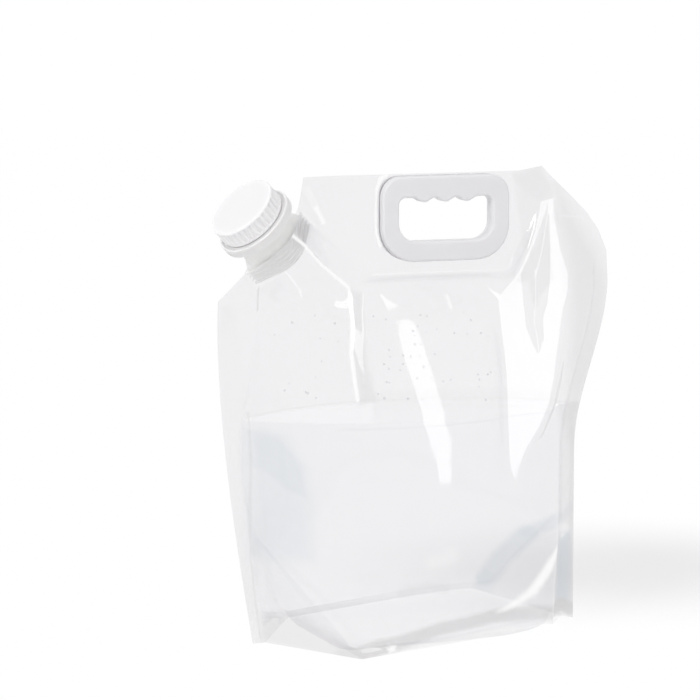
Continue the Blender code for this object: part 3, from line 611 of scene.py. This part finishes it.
def frontDepth(x, z):
    points = np.stack([x, z], axis=1)
    depth = easedDepth(x, z)
    steady = fullness(z, "steady") * ease(0, pouch["halfDepth"], depth)
    top = fullness(z, "topFull") * ease(0, folds["topFullDepth"], depth) * ease(*folds["topFullFrom"], x)
    depth = depth + steady + top
    plane = np.clip(cornerPlane[0] + cornerPlane[1] * x + cornerPlane[2] * z, 0, None)
    away = np.clip(-depthInside(points, folds["corner"]), 0, None)
    held = ease(0, folds["cornerHold"], away) * (1 - ease(0, pouch["seal"], depth))
    depth = depth + (plane - depth) * np.exp(-(away / folds["cornerFade"]) ** 2) * (1 - held)
    valley = np.clip(depthInside(points, folds["diamond"]), 0, None) * folds["diamondSlope"]
    return depth - np.minimum(valley, depth / 2) + ridgeLift(points)


def mirrorWay(x, z):
    # points on the front film, and the way in which each mirrors the camera's view
    step = 0.5 * mm

    def place(x, z):
        return np.stack([x, -frontDepth(x, z) - middleLean(x, z), z], axis=1)

    points = place(x, z)
    along, up = place(x + step, z) - place(x - step, z), place(x, z + step) - place(x, z - step)
    normals = unit(np.cross(along, up))
    view = unit(cameraPlace - points)
    return points, 2 * (normals * view).sum(axis=1, keepdims=True) * normals - view


def ridgeLift(points):
    line = folds["ridge"]
    away = np.sqrt(distanceTo(points, line, False) ** 2 + folds["ridgeRound"] ** 2) - folds["ridgeRound"]
    left = leftSide(points, line)
    width = np.where(left, folds["ridgeLeft"], folds["ridgeRight"])
    z = points[:, 1]
    ends = ease(line[-1][1] - folds["ridgeFoot"][0], line[-1][1] + folds["ridgeFoot"][1], z)
    ends = ends * (1 - ease(line[1][1], line[0][1] + folds["ridgeTop"], z))
    return folds["ridgeHeight"] * np.clip(1 - away / width, 0, 1) * ends


def leftSide(points, line):
    # the side of an open line on which the seal lies
    best = np.full(len(points), 1e9)
    left = np.zeros(len(points), bool)
    for a, b in zip(line, line[1:]):
        a, b = np.array(a), np.array(b)
        d = b - a
        t = np.clip(((points - a) @ d) / (d @ d), 0, 1)
        away = points - a - t[:, None] * d
        size = np.linalg.norm(away, axis=1)
        turn = d[0] * (points[:, 1] - a[1]) - d[1] * (points[:, 0] - a[0])
        left = np.where(size < best, turn < 0, left)
        best = np.minimum(best, size)
    return left


print("shapes ready")


# Film: how clear or milky it is at each point, with painted shade and painted highlights held on its points

film = {
    "clear": (0.940, 0.936, 0.943, 1),
    "edgeClear": (0.86, 0.855, 0.865, 1),
    # bluish painted shade, where the water and the rear seal behind it would look darker
    "cool": (0.715, 0.76, 0.795, 1),
    # grey painted shade on folds, the right flank, the foot band and the waterline; the same grey darkens the
    # seals' weld lines
    "grey": (0.76, 0.75, 0.755, 1),
    "inside": (0.998, 0.998, 0.998, 1),
    "milk": (0.985, 0.98, 0.99),
    "milkIor": 1.3,
    "milkRoughness": 0.45,
    "haze": 0.03,
    "mirror": 0.065,
    "gloss": 0.045,
    # gloss of the painted highlights, which also gives the seals their milky haze
    "highlightGloss": 0.2,
    "ripple": 0.05 * mm,
    "rippleScale": 55,
    "rippleStretch": (1.0, 1.0, 0.4),
    "rippleRoughness": 0.55,
    "cloudScale": 14,
    "cloudHaze": 0.035,
    "cloudGrey": 0.14,
    "edgePower": 2.2,
    "sharpAngle": 48,
}


def milk(f, roughness):
    return f.plastic((*film["milk"], 1), {"Roughness": roughness, "IOR": film["milkIor"]})


def filmFinish(name):
    f = Finish(name)
    cloud = f.noise(film["cloudScale"], 3) - 0.5
    ripples = f.noise(film["rippleScale"], 3, film["rippleStretch"], film["rippleRoughness"])
    rippled = f.bump(ripples, film["ripple"])
    sheet = f.mix(f.facing().power(film["edgePower"]), f.clear(film["clear"]), f.clear(film["edgeClear"]))
    # painted bluish shade, from the marks
    sheet = f.mix(f.mark("cool"), sheet, f.clear(film["cool"]))
    # painted grey shade and weld lines from the marks, with random grey cloud
    sheet = f.mix((cloud * film["cloudGrey"] + f.mark("grey")).most(0), sheet, f.clear(film["grey"]))
    hazy = f.mix(cloud * film["cloudHaze"] + film["haze"], sheet, milk(f, film["milkRoughness"]))
    # painted highlights: a stronger, duller gloss where the marks put it, and a faint haze on the seals
    body = f.mix(f.mark("veil").least(1), hazy, f.gloss(film["highlightGloss"]))
    return f.done(f.mix(f.schlick(film["mirror"]), body, f.gloss(film["gloss"], rippled)))


def filmInsideFinish(name):
    f = Finish(name)
    return f.done(f.clear(film["inside"]))


filmOuter = filmFinish("clearFilm")
filmInner = filmInsideFinish("clearFilmInside")

# painted shade: the dark band along the foot, where the bottom film's fold lies in shade
footShadeBand = ((-72, 3), (-61, 6), (-42, 9.5), (-13, 17.5), (27, 23), (60, 22), (90, 17), (115, 11), (122, 7))

# each mark: what it changes, a line or a patch in millimetres, half width, softness and strength
# front film: painted shade beside the ridge, over the top right corner, on the right flank, in the diamond,
# along the foot and at the waterline, and bluish painted shade in the water; painted highlights along the
# ridge, left of the handle, in the lower right corner and at the foot; a few grey lines are weld lines
frontMarks = (
    ("veil", "line", ((-103.6, 291.5), (-92.6, 283.2), (-79.3, 269.8), (-55.9, 251.9), (-54.8, 245.1),
     (-58.5, 222), (-61.5, 207.8), (-61.6, 190), (-61, 176.2)), 0.7, 1.2, 0.85),
    ("grey", "patch", ((-54, 250), (-46, 247), (-50, 222), (-51, 200), (-48, 176), (-60, 172), (-61, 208),
     (-58, 222)), 0, 6, 0.44),
    ("veil", "line", ((-78, 308), (-72, 298)), 0.8, 1.6, 0.9),
    ("veil", "line", ((-86, 321), (-78, 308)), 1.2, 3.5, 0.4),
    ("veil", "line", ((-22, 331), (-28, 327), (-30.4, 320), (-30.8, 300), (-30.4, 288), (-28, 280)),
     1.0, 1.2, 0.85),
    ("grey", "line", ((-120.6, 254), (-120.8, 237.6)), 0.3, 0.7, 0.7),
    ("grey", "line", ((-128.4, 166), (-128, 140), (-127.8, 104), (-126, 62), (-122.8, 31),
     (-119, 4)), 0.3, 1.0, 0.4),
    ("cool", "patch", ((-129, 152), (-119, 154), (-108, 150), (-98, 128), (-94, 100), (-95, 66),
     (-128, 62)), 0, 16, 0.34),
    ("cool", "patch", ((-130, 154), (-113, 152), (-99, 131), (-97, 108), (-108, 113), (-121, 127),
     (-130, 129)), 0, 4, 0.26),
    ("grey", "line", ((-123, 74), (-95, 46.5), (-69, 8)), 0.5, 2.6, 0.1),
    ("grey", "patch", ((-118, 22), (-98, 26), (-72, 6), (-76, -2), (-118, 0)), 0, 8, 0.6),
    ("veil", "patch", ((-133, 264), (-92, 310), (-78, 296), (-122, 251)), 0, 3, 0.3),
    ("veil", "line", ((17, 243), (17.6, 236)), 0.5, 1.6, 0.5),
    ("grey", "patch", ((74, 328), (96.5, 333), (106, 313), (102, 304), (84, 268)), 0, 5, 0.22),
    ("grey", "patch", ((74, 328), (94, 333), (104, 318), (98, 308), (84, 312)), 0, 5, 0.16),
    ("grey", "patch", ((108, 320), (140, 270), (151, 246), (149, 190), (128, 150), (124, 130), (116, 150),
     (113, 200), (112, 270)), 0, 22, 0.5),
    ("grey", "line", ((123, 140), (122.6, 100), (122.4, 60), (122.4, 12)), 0.8, 2, 0.3),
    ("grey", "patch", ((70, 250), (80, 252), (84, 232), (88, 240), (100, 252), (101, 300), (88, 275)),
     0, 4, 0.3),
    ("cool", "patch", ((123, 66), (111, 60), (103, 45), (97, 22), (98, 12), (122, 6)), 0, 7, 0.75),
    ("veil", "patch", ((116, 62), (100, 56), (88, 46), (66, 33), (38, 26), (30, 25.5), (58, 37), (82, 52),
     (100, 60)), 0, 5, 0.85),
    ("grey", "line", footShadeBand, 2.6, 4.2, 0.95),
    ("grey", "line", ((-78, 2), (-66, 4), (-56, 7)), 3.0, 3.5, 0.95),
    ("veil", "patch", ((-52, 6.5), (-46, 8), (-45, 4), (-51, 3)), 0, 2, 0.85),
    ("veil", "patch", ((-50, 1), (-13, 9), (27, 14), (60, 14), (90, 8), (122, 2), (122, -3), (70, 8),
     (0, 2)), 0, 3, 0.4),
    ("grey", "line", ((-40, 44), (-24, 47), (-10, 46)), 0.5, 6, 0.3),
    ("veil", "line", ((-18, 64), (-4, 68)), 1, 8, 0.2),
    ("grey", "line", ((-75, 155.5), (-40, 156.5), (0, 157), (60, 158.5), (100, 160)), 0.3, 0.8, 0.14),
)
# rear film: bluish painted shade along its lower seal, seen through the water, and grey painted shade at the
# waterline and on its right strip
rearMarks = (
    ("cool", "line", ((125, 84), (112, 72), (98.8, 60)), 2.0, 3.6, 0.5),
    ("cool", "line", ((98.8, 60), (85.6, 37.6), (79.6, 21.5)), 3.4, 4.5, 0.55),
    ("cool", "line", ((79.6, 21.5), (78.6, 2)), 2.0, 5, 0.3),
    ("grey", "line", ((-118, 160.6), (-60, 160.6), (0, 160.6), (60, 160.6), (112, 160.6)), 0.3, 1.0, 0.2),
    ("grey", "line", ((-10, 164), (60, 164), (108, 164)), 0.5, 6, 0.14),
    ("grey", "patch", ((114, 160), (134, 160), (132, 64), (114, 72)), 0, 4, 0.5),
)
# a faint milky, glossier band on the left seals of both films
bothMarks = (
    ("veil", "patch", ((-150, 241), (-138, 241), (-127, 160), (-118, 60), (-114, 0), (-126, 0), (-140, 120)),
     0, 2, 0.1),
)


# paints the marks' shade, highlights, weld lines and seal haze onto each point of the film
def markFilm(obj, points, marks):
    totals = {name: np.zeros(len(points)) for name in ("cool", "grey", "veil")}
    for name, kind, line, half, soft, strength in marks:
        line = lined(line)
        if kind == "line":
            share = 1 - ease(half * mm, (half + soft) * mm, distanceTo(points, line, False))
        else:
            share = ease(-soft * mm / 2, soft * mm / 2, depthInside(points, line))
        totals[name] = totals[name] + strength * share * (1 - totals[name])
    for name, values in totals.items():
        setMark(obj, name, values)


# How far each point would follow the walls as the pouch empties: worked out, but not kept on the mesh

emptying = {
    "travel": 72 * mm,
    "flat": 6 * mm,
    "nearSpout": 8 * mm,
    "spoutFade": 62 * mm,
}


def keepsClear(x, z):
    # 1 round the spout, whose stiff boat stays as thick as it is, and 0 far from it
    across, inwards = spoutPlace(x, z)
    outside = np.hypot(np.clip(np.abs(across) - spout["halfLength"], 0, None),
                       np.clip(inwards - spout["depth"], 0, None))
    return 1 - ease(emptying["nearSpout"], emptying["spoutFade"], outside)


def followWall(obj, side):
    points = meshPoints(obj)
    x, y, z = points.T
    away = np.clip(side * (y + middleLean(x, z)), 0, None)
    flattened = 1 - emptying["flat"] / pouch["halfDepth"]
    weights = np.clip(away * flattened * (1 - keepsClear(x, z)) / emptying["travel"], 0, 1)
    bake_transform(obj)


def makeWall(name, side, node, depthAt, marks, fineLines):
    flat, faces = flatSheet(pouchOutline(), [gripHole()], pouch["grid"], fineLines)
    x, z = flat[:, 0], flat[:, 1]
    y = side * (pouch["gap"] / 2 + depthAt(x, z)) - middleLean(x, z)
    verts = np.stack([x, y, z], axis=1)
    a, b, c = (verts[faces[:, i]] for i in range(3))
    if np.cross(b - a, c - a)[:, 1].sum() * side < 0:
        faces = faces[:, ::-1]
    verts, allFaces, skins = thicken(verts, faces, pouch["film"])
    obj = addMesh(name, verts, allFaces, (filmOuter, filmInner), film["sharpAngle"])
    obj.data.polygons.foreach_set("material_index", skins)
    markFilm(obj, np.concatenate([flat, flat]), marks + bothMarks)
    followWall(obj, side)
    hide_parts(node)
    return obj


fineBelow = 3
frontFine = [folds["ridge"], folds["corner"] + folds["corner"][:1], folds["diamondSpine"],
             folds["diamond"] + folds["diamond"][:1]]
frontFine += [lined(mark[2]) for mark in frontMarks if mark[1] == "line" and mark[4] < fineBelow]
rearFine = [lined(mark[2]) for mark in rearMarks if mark[4] < fineBelow]
frontWall = makeWall("front_film", -1, "front_wall_film", frontDepth, frontMarks, frontFine)
rearWall = makeWall("rear_film", 1, "rear_wall_film", easedDepth, rearMarks, rearFine)
print("film walls ready", len(frontWall.data.polygons), len(rearWall.data.polygons))


# Bottom film: flat on the floor, welded to both walls, and rising into both lower corners

gusset = {
    "inset": 1.2 * mm,
    "fold": 8 * mm,
    "foldDrop": 0.55,
    "flat": 26 * mm,
    "leastFlat": 0.3,
    "leastFold": 0.6,
    "weld": 0.17,
    "film": 0.4 * mm,
    "floorGap": 0.45 * mm,
    "cornerRows": 26,
    "baseRows": 72,
    "across": 14,
    "keep": 0.06,
    "clear": (0.928, 0.925, 0.932, 1),
    "foldClear": (0.988, 0.988, 0.99, 1),
    "foldRise": (4 * mm, 13 * mm),
    "haze": 0.02,
    "hazeScale": 40,
    "milkRoughness": 0.4,
    "mirror": 0.15,
    "gloss": 0.06,
    "smoothing": 5,
    "sharpAngle": 50,
}


def sidePlace(side, z):
    left, right = sealLines(z)
    return left + (side + 1) / 2 * (right - left)


def insidePoint(side, z, inset):
    x = float(sidePlace(side, z))
    place = np.array([x]), np.array([z])
    depth = min(float(bodyDepth(*place)[0]), float(easedDepth(*place)[0]))
    return np.array([x, max(0.0, depth - inset), z])


def smoothSection(corners, count):
    # points evenly along a bent line, with its corners rounded
    corners = np.array(corners)
    lengths = np.concatenate([[0], np.cumsum(np.linalg.norm(np.diff(corners, axis=0), axis=1))])
    fine = np.linspace(0, lengths[-1], count * 4)
    points = np.stack([np.interp(fine, lengths, corners[:, i]) for i in range(3)], axis=1)
    for _ in range(gusset["smoothing"]):
        points[1:-1] = (points[:-2] + 2 * points[1:-1] + points[2:]) / 4
    return points[np.linspace(0, len(points) - 1, count).round().astype(int)]


def gussetSection(weld, fold, bottom):
    # half a strip across, from the weld on a wall to the middle plane
    flatY = max(gusset["leastFlat"] * fold[1], fold[1] - gusset["flat"])
    foldY = max(gusset["leastFold"] * fold[1], fold[1] - gusset["fold"])
    foldZ = fold[2] - (fold[2] - bottom) * gusset["foldDrop"]
    x = fold[0]
    corners = [weld, fold, (x, foldY, foldZ), (x, flatY, bottom), (x, 0, bottom)]
    return smoothSection(corners, gusset["across"])


def makeGusset():
    rows = []
    knee, inset = pouch["knee"], gusset["inset"]
    top = pouch["gussetSeal"] * (pouch["kneeLimit"] - knee) / (1 - knee)
    weldSide = knee + gusset["weld"] * (1 - knee)
    for sign in (-1, 1):
        foot = pouch["baseSeal"] + float(footLift(sidePlace(sign * knee, 0.0)))
        strips = []
        for z in np.linspace(top, foot + mm, gusset["cornerRows"]):
            bottom = max(gusset["floorGap"], z - foot * (top - z) / (top - foot))
            kneeAt = float(kneeShare(z))
            weldAt = kneeAt + (weldSide - knee) / (1 - knee) * (1 - kneeAt)
            fold = insidePoint(sign * kneeAt, z, inset)
            strips.append(gussetSection(insidePoint(sign * weldAt, z, inset), fold, bottom))
        base = []
        for side in np.linspace(sign * knee, 0, gusset["baseRows"] // 2):
            lift = float(footLift(sidePlace(side, 0.0)))
            weld = insidePoint(side, lift + pouch["gap"], inset)
            fold = insidePoint(side, pouch["baseSeal"] + lift, inset)
            base.append(gussetSection(weld, fold, gusset["floorGap"]))
        rows.append(strips + base)
    strips = rows[0] + list(reversed(rows[1]))[1:]
    verts, faces = [], []
    for half in strips:
        mirrored = half[:-1] * (1, -1, 1)
        verts += list(mirrored) + list(half[::-1])
    width = 2 * gusset["across"] - 1
    for row in range(len(strips) - 1):
        for i in range(width - 1):
            a = row * width + i
            faces.append((a, a + width, a + width + 1, a + 1))
    verts = np.array(verts)
    faces = np.array([tri for q in faces for tri in ((q[0], q[1], q[2]), (q[0], q[2], q[3]))])
    upwards = pointNormals(verts, faces)[:, 2].sum() > 0
    verts, allFaces, skins = thicken(verts, faces if upwards else faces[:, ::-1], gusset["film"])
    obj = addMesh("bottom_film", verts, allFaces, (gussetFinish(), filmInner), gusset["sharpAngle"])
    obj.data.polygons.foreach_set("material_index", skins)
    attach(obj, "carrier")
    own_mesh(obj)
    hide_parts("bottom_gusset_film")
    return obj


def gussetFinish():
    f = Finish("bottomFilm")
    folded = f.place()[2].step(*gusset["foldRise"])
    sheet = f.mix(folded, f.clear(gusset["clear"]), f.clear(gusset["foldClear"]))
    body = f.mix(f.noise(gusset["hazeScale"], 3) * gusset["haze"], sheet, milk(f, gusset["milkRoughness"]))
    return f.done(f.mix(f.facing().power(5) * gusset["mirror"], body, f.gloss(gusset["gloss"])))


bottomFilm = makeGusset()
print("bottom film ready", len(bottomFilm.data.polygons))


# Water: it fills the pouch up to its level

water = {
    "level": 160 * mm,
    "foot": 1.6 * mm,
    "full": 12 * mm,
    "inset": 1.0 * mm,
    "thinnest": 0.2 * mm,
    "sides": 0.985,
    "kneeGap": 0.004,
    "across": 80,
    "rows": 44,
    "clear": (0.992, 0.995, 0.997, 1),
    "edge": (0.978, 0.985, 0.988, 1),
    "mirror": 0.02,
    "gloss": 0.02,
    "ripple": 0.3 * mm,
    "rippleScale": 18,
    "keep": 0.03,
    "sharpAngle": 40,
}


def waterFinish():
    f = Finish("clearWater")
    return f.done(f.mix(f.facing().power(2), f.clear(water["clear"]), f.clear(water["edge"])))


def surfaceFinish():
    f = Finish("waterSurface")
    mirrored = f.gloss(water["gloss"], f.bump(f.noise(water["rippleScale"]), water["ripple"]))
    return f.done(f.mix(f.schlick(water["mirror"]), f.clear(water["clear"]), mirrored))


def makeWater():
    verts, faces, skins = [], [], []
    ring = 2 * water["across"]
    levels = np.linspace(water["foot"], water["level"], water["rows"])
    for z in levels:
        share = min(float(kneeShare(z)) - water["kneeGap"], water["sides"])
        sides = np.linspace(-share, share, water["across"])
        x = sidePlace(sides, z)
        zs = np.full(len(x), z)
        narrow = gusset["flat"] * (1 - ease(0, water["full"], footClear(x, z)))
        front, rear = (np.clip(depthAt(x, zs) - water["inset"] - narrow, water["thinnest"], None)
                       for depthAt in (frontDepth, easedDepth))
        verts += [(a, -b, z) for a, b in zip(x, front)] + [(a, b, z) for a, b in zip(x[::-1], rear[::-1])]
    for row in range(len(levels) - 1):
        for i in range(ring):
            j = (i + 1) % ring
            a, b = row * ring + i, row * ring + j
            faces.append((a, b, b + ring, a + ring))
            skins.append(0)
    for row, skin in ((0, 2), (len(levels) - 1, 1)):
        for i in range(water["across"] - 1):
            a, b = row * ring + i, row * ring + i + 1
            c, d = row * ring + ring - 2 - i, row * ring + ring - 1 - i
            faces.append((d, c, b, a) if row == 0 else (a, b, c, d))
            skins.append(skin)
    materials = (waterFinish(), surfaceFinish(), filmInner)
    obj = addMesh("water", verts, faces, materials, water["sharpAngle"])
    obj.data.polygons.foreach_set("material_index", skins)
    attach(obj, "carrier")
    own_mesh(obj)
    return obj


def footClear(x, z):
    # height above the lifted foot of the walls
    return z - footLift(x)


waterBody = makeWater()
print("water ready", len(waterBody.data.polygons))


# Droplets left on the inside of the front film, by Geometry Nodes

droplets = {
    "fields": (lined(((-118, 232), (-66, 236), (-64, 178), (-116, 176))),
               lined(((-48, 236), (40, 240), (46, 172), (-48, 172)))),
    "net": 6 * mm,
    "sink": 0.1 * mm,
    "density": 5200,
    "radius": 0.8 * mm,
    "smallest": 0.45,
    "largest": 1.3,
    "flatness": 0.45,
    "seed": 7,
    "clear": (0.95, 0.95, 0.96, 1),
    "rim": (0.45, 0.46, 0.49, 1),
    "rimPower": 1.4,
    "mirror": 0.05,
    "gloss": 0.05,
}


def dropletFinish():
    f = Finish("droplets")
    body = f.mix(f.facing().power(droplets["rimPower"]), f.clear(droplets["clear"]), f.clear(droplets["rim"]))
    return f.done(f.mix(f.schlick(droplets["mirror"]), body, f.gloss(droplets["gloss"])))


def dropletNodes(material):
    tree = bpy.data.node_groups.new("scatterDroplets", "GeometryNodeTree")
    face = tree.interface
    face.new_socket("Geometry", in_out="INPUT", socket_type="NodeSocketGeometry")
    sockets = {}
    for name in ("density", "radius", "smallest", "largest", "flatness"):
        sockets[name] = face.new_socket(name, in_out="INPUT", socket_type="NodeSocketFloat").identifier
    sockets["seed"] = face.new_socket("seed", in_out="INPUT", socket_type="NodeSocketInt").identifier
    face.new_socket("Geometry", in_out="OUTPUT", socket_type="NodeSocketGeometry")
    made = {}
    for key, kind in (("in", "NodeGroupInput"), ("out", "NodeGroupOutput"),
                      ("scatter", "GeometryNodeDistributePointsOnFaces"),
                      ("ball", "GeometryNodeMeshIcoSphere"),
                      ("place", "GeometryNodeInstanceOnPoints"), ("size", "FunctionNodeRandomValue"),
                      ("scale", "ShaderNodeCombineXYZ"), ("flat", "ShaderNodeMath"),
                      ("real", "GeometryNodeRealizeInstances"), ("finish", "GeometryNodeSetMaterial")):
        made[key] = tree.nodes.new(kind)
    made["scatter"].distribute_method = "RANDOM"
    made["ball"].inputs["Subdivisions"].default_value = 2
    made["flat"].operation = "MULTIPLY"
    made["finish"].inputs["Material"].default_value = material
    size = made["size"]
    size.data_type = "FLOAT"
    links = (
        ("in", "Geometry", "scatter", "Mesh"), ("in", "density", "scatter", "Density"),
        ("in", "seed", "scatter", "Seed"), ("in", "radius", "ball", "Radius"),
        ("scatter", "Points", "place", "Points"), ("scatter", "Rotation", "place", "Rotation"),
        ("ball", "Mesh", "place", "Instance"), ("scale", "Vector", "place", "Scale"),
        ("place", "Instances", "real", "Geometry"), ("real", "Geometry", "finish", "Geometry"),
        ("finish", "Geometry", "out", "Geometry"))
    for source, output, target, slot in links:
        tree.links.new(made[source].outputs[output], made[target].inputs[slot])
    low, high = (socket for socket in size.inputs if socket.enabled and socket.name in ("Min", "Max"))
    tree.links.new(made["in"].outputs["smallest"], low)
    tree.links.new(made["in"].outputs["largest"], high)
    tree.links.new(made["in"].outputs["seed"], size.inputs["Seed"])
    value = next(socket for socket in size.outputs if socket.enabled)
    for slot in ("X", "Y"):
        tree.links.new(value, made["scale"].inputs[slot])
    tree.links.new(value, made["flat"].inputs[0])
    tree.links.new(made["in"].outputs["flatness"], made["flat"].inputs[1])
    tree.links.new(made["flat"].outputs[0], made["scale"].inputs["Z"])
    return tree, sockets


def makeDroplets():
    sheets = [flatSheet(field, [], droplets["net"]) for field in droplets["fields"]]
    verts, faces = [], []
    for flat, tris in sheets:
        x, z = flat[:, 0], flat[:, 1]
        y = -(pouch["gap"] / 2 + frontDepth(x, z) - droplets["sink"]) - middleLean(x, z)
        faces += [tuple(int(i) + len(verts) for i in tri[::-1]) for tri in tris]
        verts += [(a, b, c) for a, b, c in zip(x, y, z)]
    obj = addMesh("droplets", verts, faces)
    tree, sockets = dropletNodes(dropletFinish())
    modifier = obj.modifiers.new("scatter", "NODES")
    modifier.node_group = tree
    for name, identifier in sockets.items():
        modifier[identifier] = droplets[name]
    graph = bpy.context.evaluated_depsgraph_get()
    mesh = bpy.data.meshes.new_from_object(obj.evaluated_get(graph))
    obj.modifiers.clear()
    obj.data = mesh
    mesh.shade_smooth()
    followWall(obj, -1)
    return obj


dropletBody = makeDroplets()
print("droplets ready", len(dropletBody.data.polygons))


# Moulded pieces: the CAD nodes with their own finishes

plastic = {
    "cloudScale": 34,
    "grainScale": 950,
    "grain": 0.015 * mm,
    "grainStrength": 0.6,
    "smudgeScale": 60,
    "smudge": 0.1,
    "ior": 1.48,
    "glow": (0.012, 0.012, 0.013),
    "glowScale": 0.5,
    "sharpAngle": 32,
}
# each: its material's name, colour, second colour, roughness and how much light passes through
moulded = {
    "screw_cap": ("capPlastic", (0.935, 0.925, 0.95), (0.915, 0.905, 0.93), 0.34, 0.4),
    "tamper_collar": ("collarPlastic", (0.88, 0.87, 0.88), (0.85, 0.84, 0.85), 0.36, 0.6),
    "spout_fitment": ("spoutPlastic", (0.93, 0.925, 0.915), (0.91, 0.905, 0.895), 0.4, 0.8),
    "cap_sealing_disc": ("sealFoam", (0.76, 0.78, 0.80), (0.70, 0.72, 0.74), 0.7, 0.0),
    "handle_front_half": ("handlePlastic", (0.785, 0.776, 0.795), (0.75, 0.742, 0.76), 0.34, 0.25),
}


def mouldedFinish(name, colour, shade, roughness, through):
    f = Finish(name)
    return f.done(f.plastic(f.colours(f.noise(plastic["cloudScale"], 3), shade, colour), {
        "Roughness": f.noise(plastic["smudgeScale"]) * plastic["smudge"] + roughness,
        "IOR": plastic["ior"],
        "Normal": f.bump(f.noise(plastic["grainScale"]), plastic["grain"], plastic["grainStrength"]),
        "Subsurface Weight": through,
        "Subsurface Radius": plastic["glow"],
        "Subsurface Scale": plastic["glowScale"]}))


for node, values in moulded.items():
    dress(nodes[node], mouldedFinish(*values))
dress(nodes["handle_rear_half"], nodes["handle_front_half"].data.materials[0])
for node in ("spout_fitment", "screw_cap", "tamper_collar", "handle_front_half", "handle_rear_half"):
    nodes[node].data.shade_smooth()
    nodes[node].data.set_sharp_from_angle(angle=math.radians(plastic["sharpAngle"]))


# The collar's inner bead, which closes the gap under the cap's foot

bead = {
    "inner": 23.5 * mm,
    "outer": 26.5 * mm,
    "low": 22.6 * mm,
    "high": 24.4 * mm,
    "steps": 96,
}


def makeBead():
    tilt, lean = spout["tilt"], spout["lean"]
    origin = np.array([spout["x"], -math.tan(lean) * spout["leanReach"] / 2, spout["z"]])
    axis = np.array([-math.cos(tilt) * math.cos(lean), -math.sin(lean), math.sin(tilt) * math.cos(lean)])
    across = np.array([math.cos(tilt), 0, math.sin(tilt)])
    upright = np.cross(axis, across)
    section = [(bead[side], bead[end]) for side, end in (
        ("inner", "low"), ("outer", "low"), ("outer", "high"), ("inner", "high"))]
    verts, faces = [], []
    for step in range(bead["steps"]):
        turn = 2 * math.pi * step / bead["steps"]
        way = across * math.cos(turn) + upright * math.sin(turn)
        verts += [origin + axis * height + way * radius for radius, height in section]
        for side in range(4):
            this, after = 4 * step, 4 * ((step + 1) % bead["steps"])
            faces.append((this + side, after + side, after + (side + 1) % 4, this + (side + 1) % 4))
    material = nodes["tamper_collar"].data.materials[0]
    obj = addMesh("collar_bead", verts, faces, (material,), plastic["sharpAngle"])
    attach(obj, "collar")


makeBead()
print("moulded pieces ready")


# Floor, light and camera

studio = {
    "floor": (0.93, 0.93, 0.93, 1),
    "floorReach": 6.0,
    "floorLift": 0.22,
    "floorWhite": 0.995,
    "shadowMiddle": (0.24, 0.16),
    "liftEnd": (0.04, 0.25),
    "world": 0.76,
    "aim": (-0.0508, 0, 0.2061),
    "lens": 167.4,
    "sensor": 36,
    "clearBounces": 40,
}
keyLamp = {
    "place": (-1.5, -0.9, 1.5),
    "aim": (0, 0, 0.15),
    "size": (0.7, 0.9),
    "power": 14,
}
softbox = {
    "reach": 3.2,
    "strength": 2.8,
    "rows": 24,
}


def makeFloor():
    # matt where the pouch's shadow falls, and white to the camera further out
    f = Finish("paleFloor")
    x, y = f.place()[:2]
    midX, midY = studio["shadowMiddle"]
    out = (((x - midX).power(2) + (y - midY).power(2)).power(0.5)).step(*studio["liftEnd"])
    share = f.seen() * (out * (studio["floorWhite"] - studio["floorLift"]) + studio["floorLift"])
    matt = f.node("BsdfDiffuse", None, {"Color": studio["floor"]}).outputs[0]
    reach = studio["floorReach"]
    corners = [(-reach, -reach, 0), (reach, -reach, 0), (reach, reach, 0), (-reach, reach, 0)]
    addMesh("floor", corners, [(0, 1, 2, 3)], (f.done(f.mix(share, matt, f.glow(1))),))


def makeWorld():
    f = Finish("studio", True)
    dim, white = (f.node("Background", None, {"Color": (1, 1, 1, 1), "Strength": strength}).outputs[0]
                  for strength in (studio["world"], 1))
    bpy.context.scene.world = f.done(f.mix(f.seen(), dim, white))


def lookAt(obj, place, aim):
    obj.location = place
    obj.rotation_euler = (Vector(aim) - Vector(place)).to_track_quat("-Z", "Y").to_euler()
    bpy.context.scene.collection.objects.link(obj)


def addLamp(name, lamp):
    data = bpy.data.lights.new(name, "AREA")
    data.shape = "RECTANGLE"
    data.size, data.size_y = lamp["size"]
    data.energy = lamp["power"]
    lookAt(bpy.data.objects.new(name, data), lamp["place"], lamp["aim"])


def addCard(name, light, verts, faces, strength):
    # a light card that the camera doesn't see
    f = Finish(light)
    obj = addMesh(name, verts, faces, (f.done(f.glow(strength)),))
    obj.visible_camera = False


rearCard = {
    "middleX": -0.07,
    "azimuths": (2, 22.2),
    "elevations": (3, 16),
    "reach": 3.0,
    "strength": 1.1,
}


def makeRearCard():
    # a pale card far behind, which the water's surface mirrors on its spout side
    middle = np.array((rearCard["middleX"], 0, water["level"]))
    left, right = rearCard["azimuths"]
    low, high = rearCard["elevations"]
    verts = [middle + rearCard["reach"] * aimed(180 - azimuth, elevation)
             for azimuth, elevation in ((left, low), (right, low), (right, high), (left, high))]
    addCard("rear_card", "rearLight", verts, [(0, 1, 2, 3)], rearCard["strength"])


def makeSoftbox():
    # a bent light card that stands where the film mirrors it to the camera as one upright stripe
    count = softbox["rows"]
    verts = []
    for line in folds["stripe"]:
        shares = np.linspace(0, 1, len(line))
        xs, zs = (np.interp(np.linspace(0, 1, count), shares, [point[i] for point in line]) for i in (0, 1))
        points, ways = mirrorWay(xs, zs)
        verts += list(points + ways * softbox["reach"])
    faces = [(i, i + 1, i + 1 + count, i + count) for i in range(count - 1)]
    addCard("softbox", "softboxLight", verts, faces, softbox["strength"])


makeFloor()
makeWorld()
makeSoftbox()
makeRearCard()
addLamp("keyLamp", keyLamp)

camera = bpy.data.objects.new("camera", bpy.data.cameras.new("camera"))
camera.data.lens = studio["lens"]
camera.data.sensor_width = studio["sensor"]
lookAt(camera, cameraPlace, studio["aim"])
bpy.context.scene.camera = camera
bpy.context.scene.view_settings.view_transform = "Standard"
bpy.context.scene.cycles.transparent_max_bounces = studio["clearBounces"]
print("studio ready")
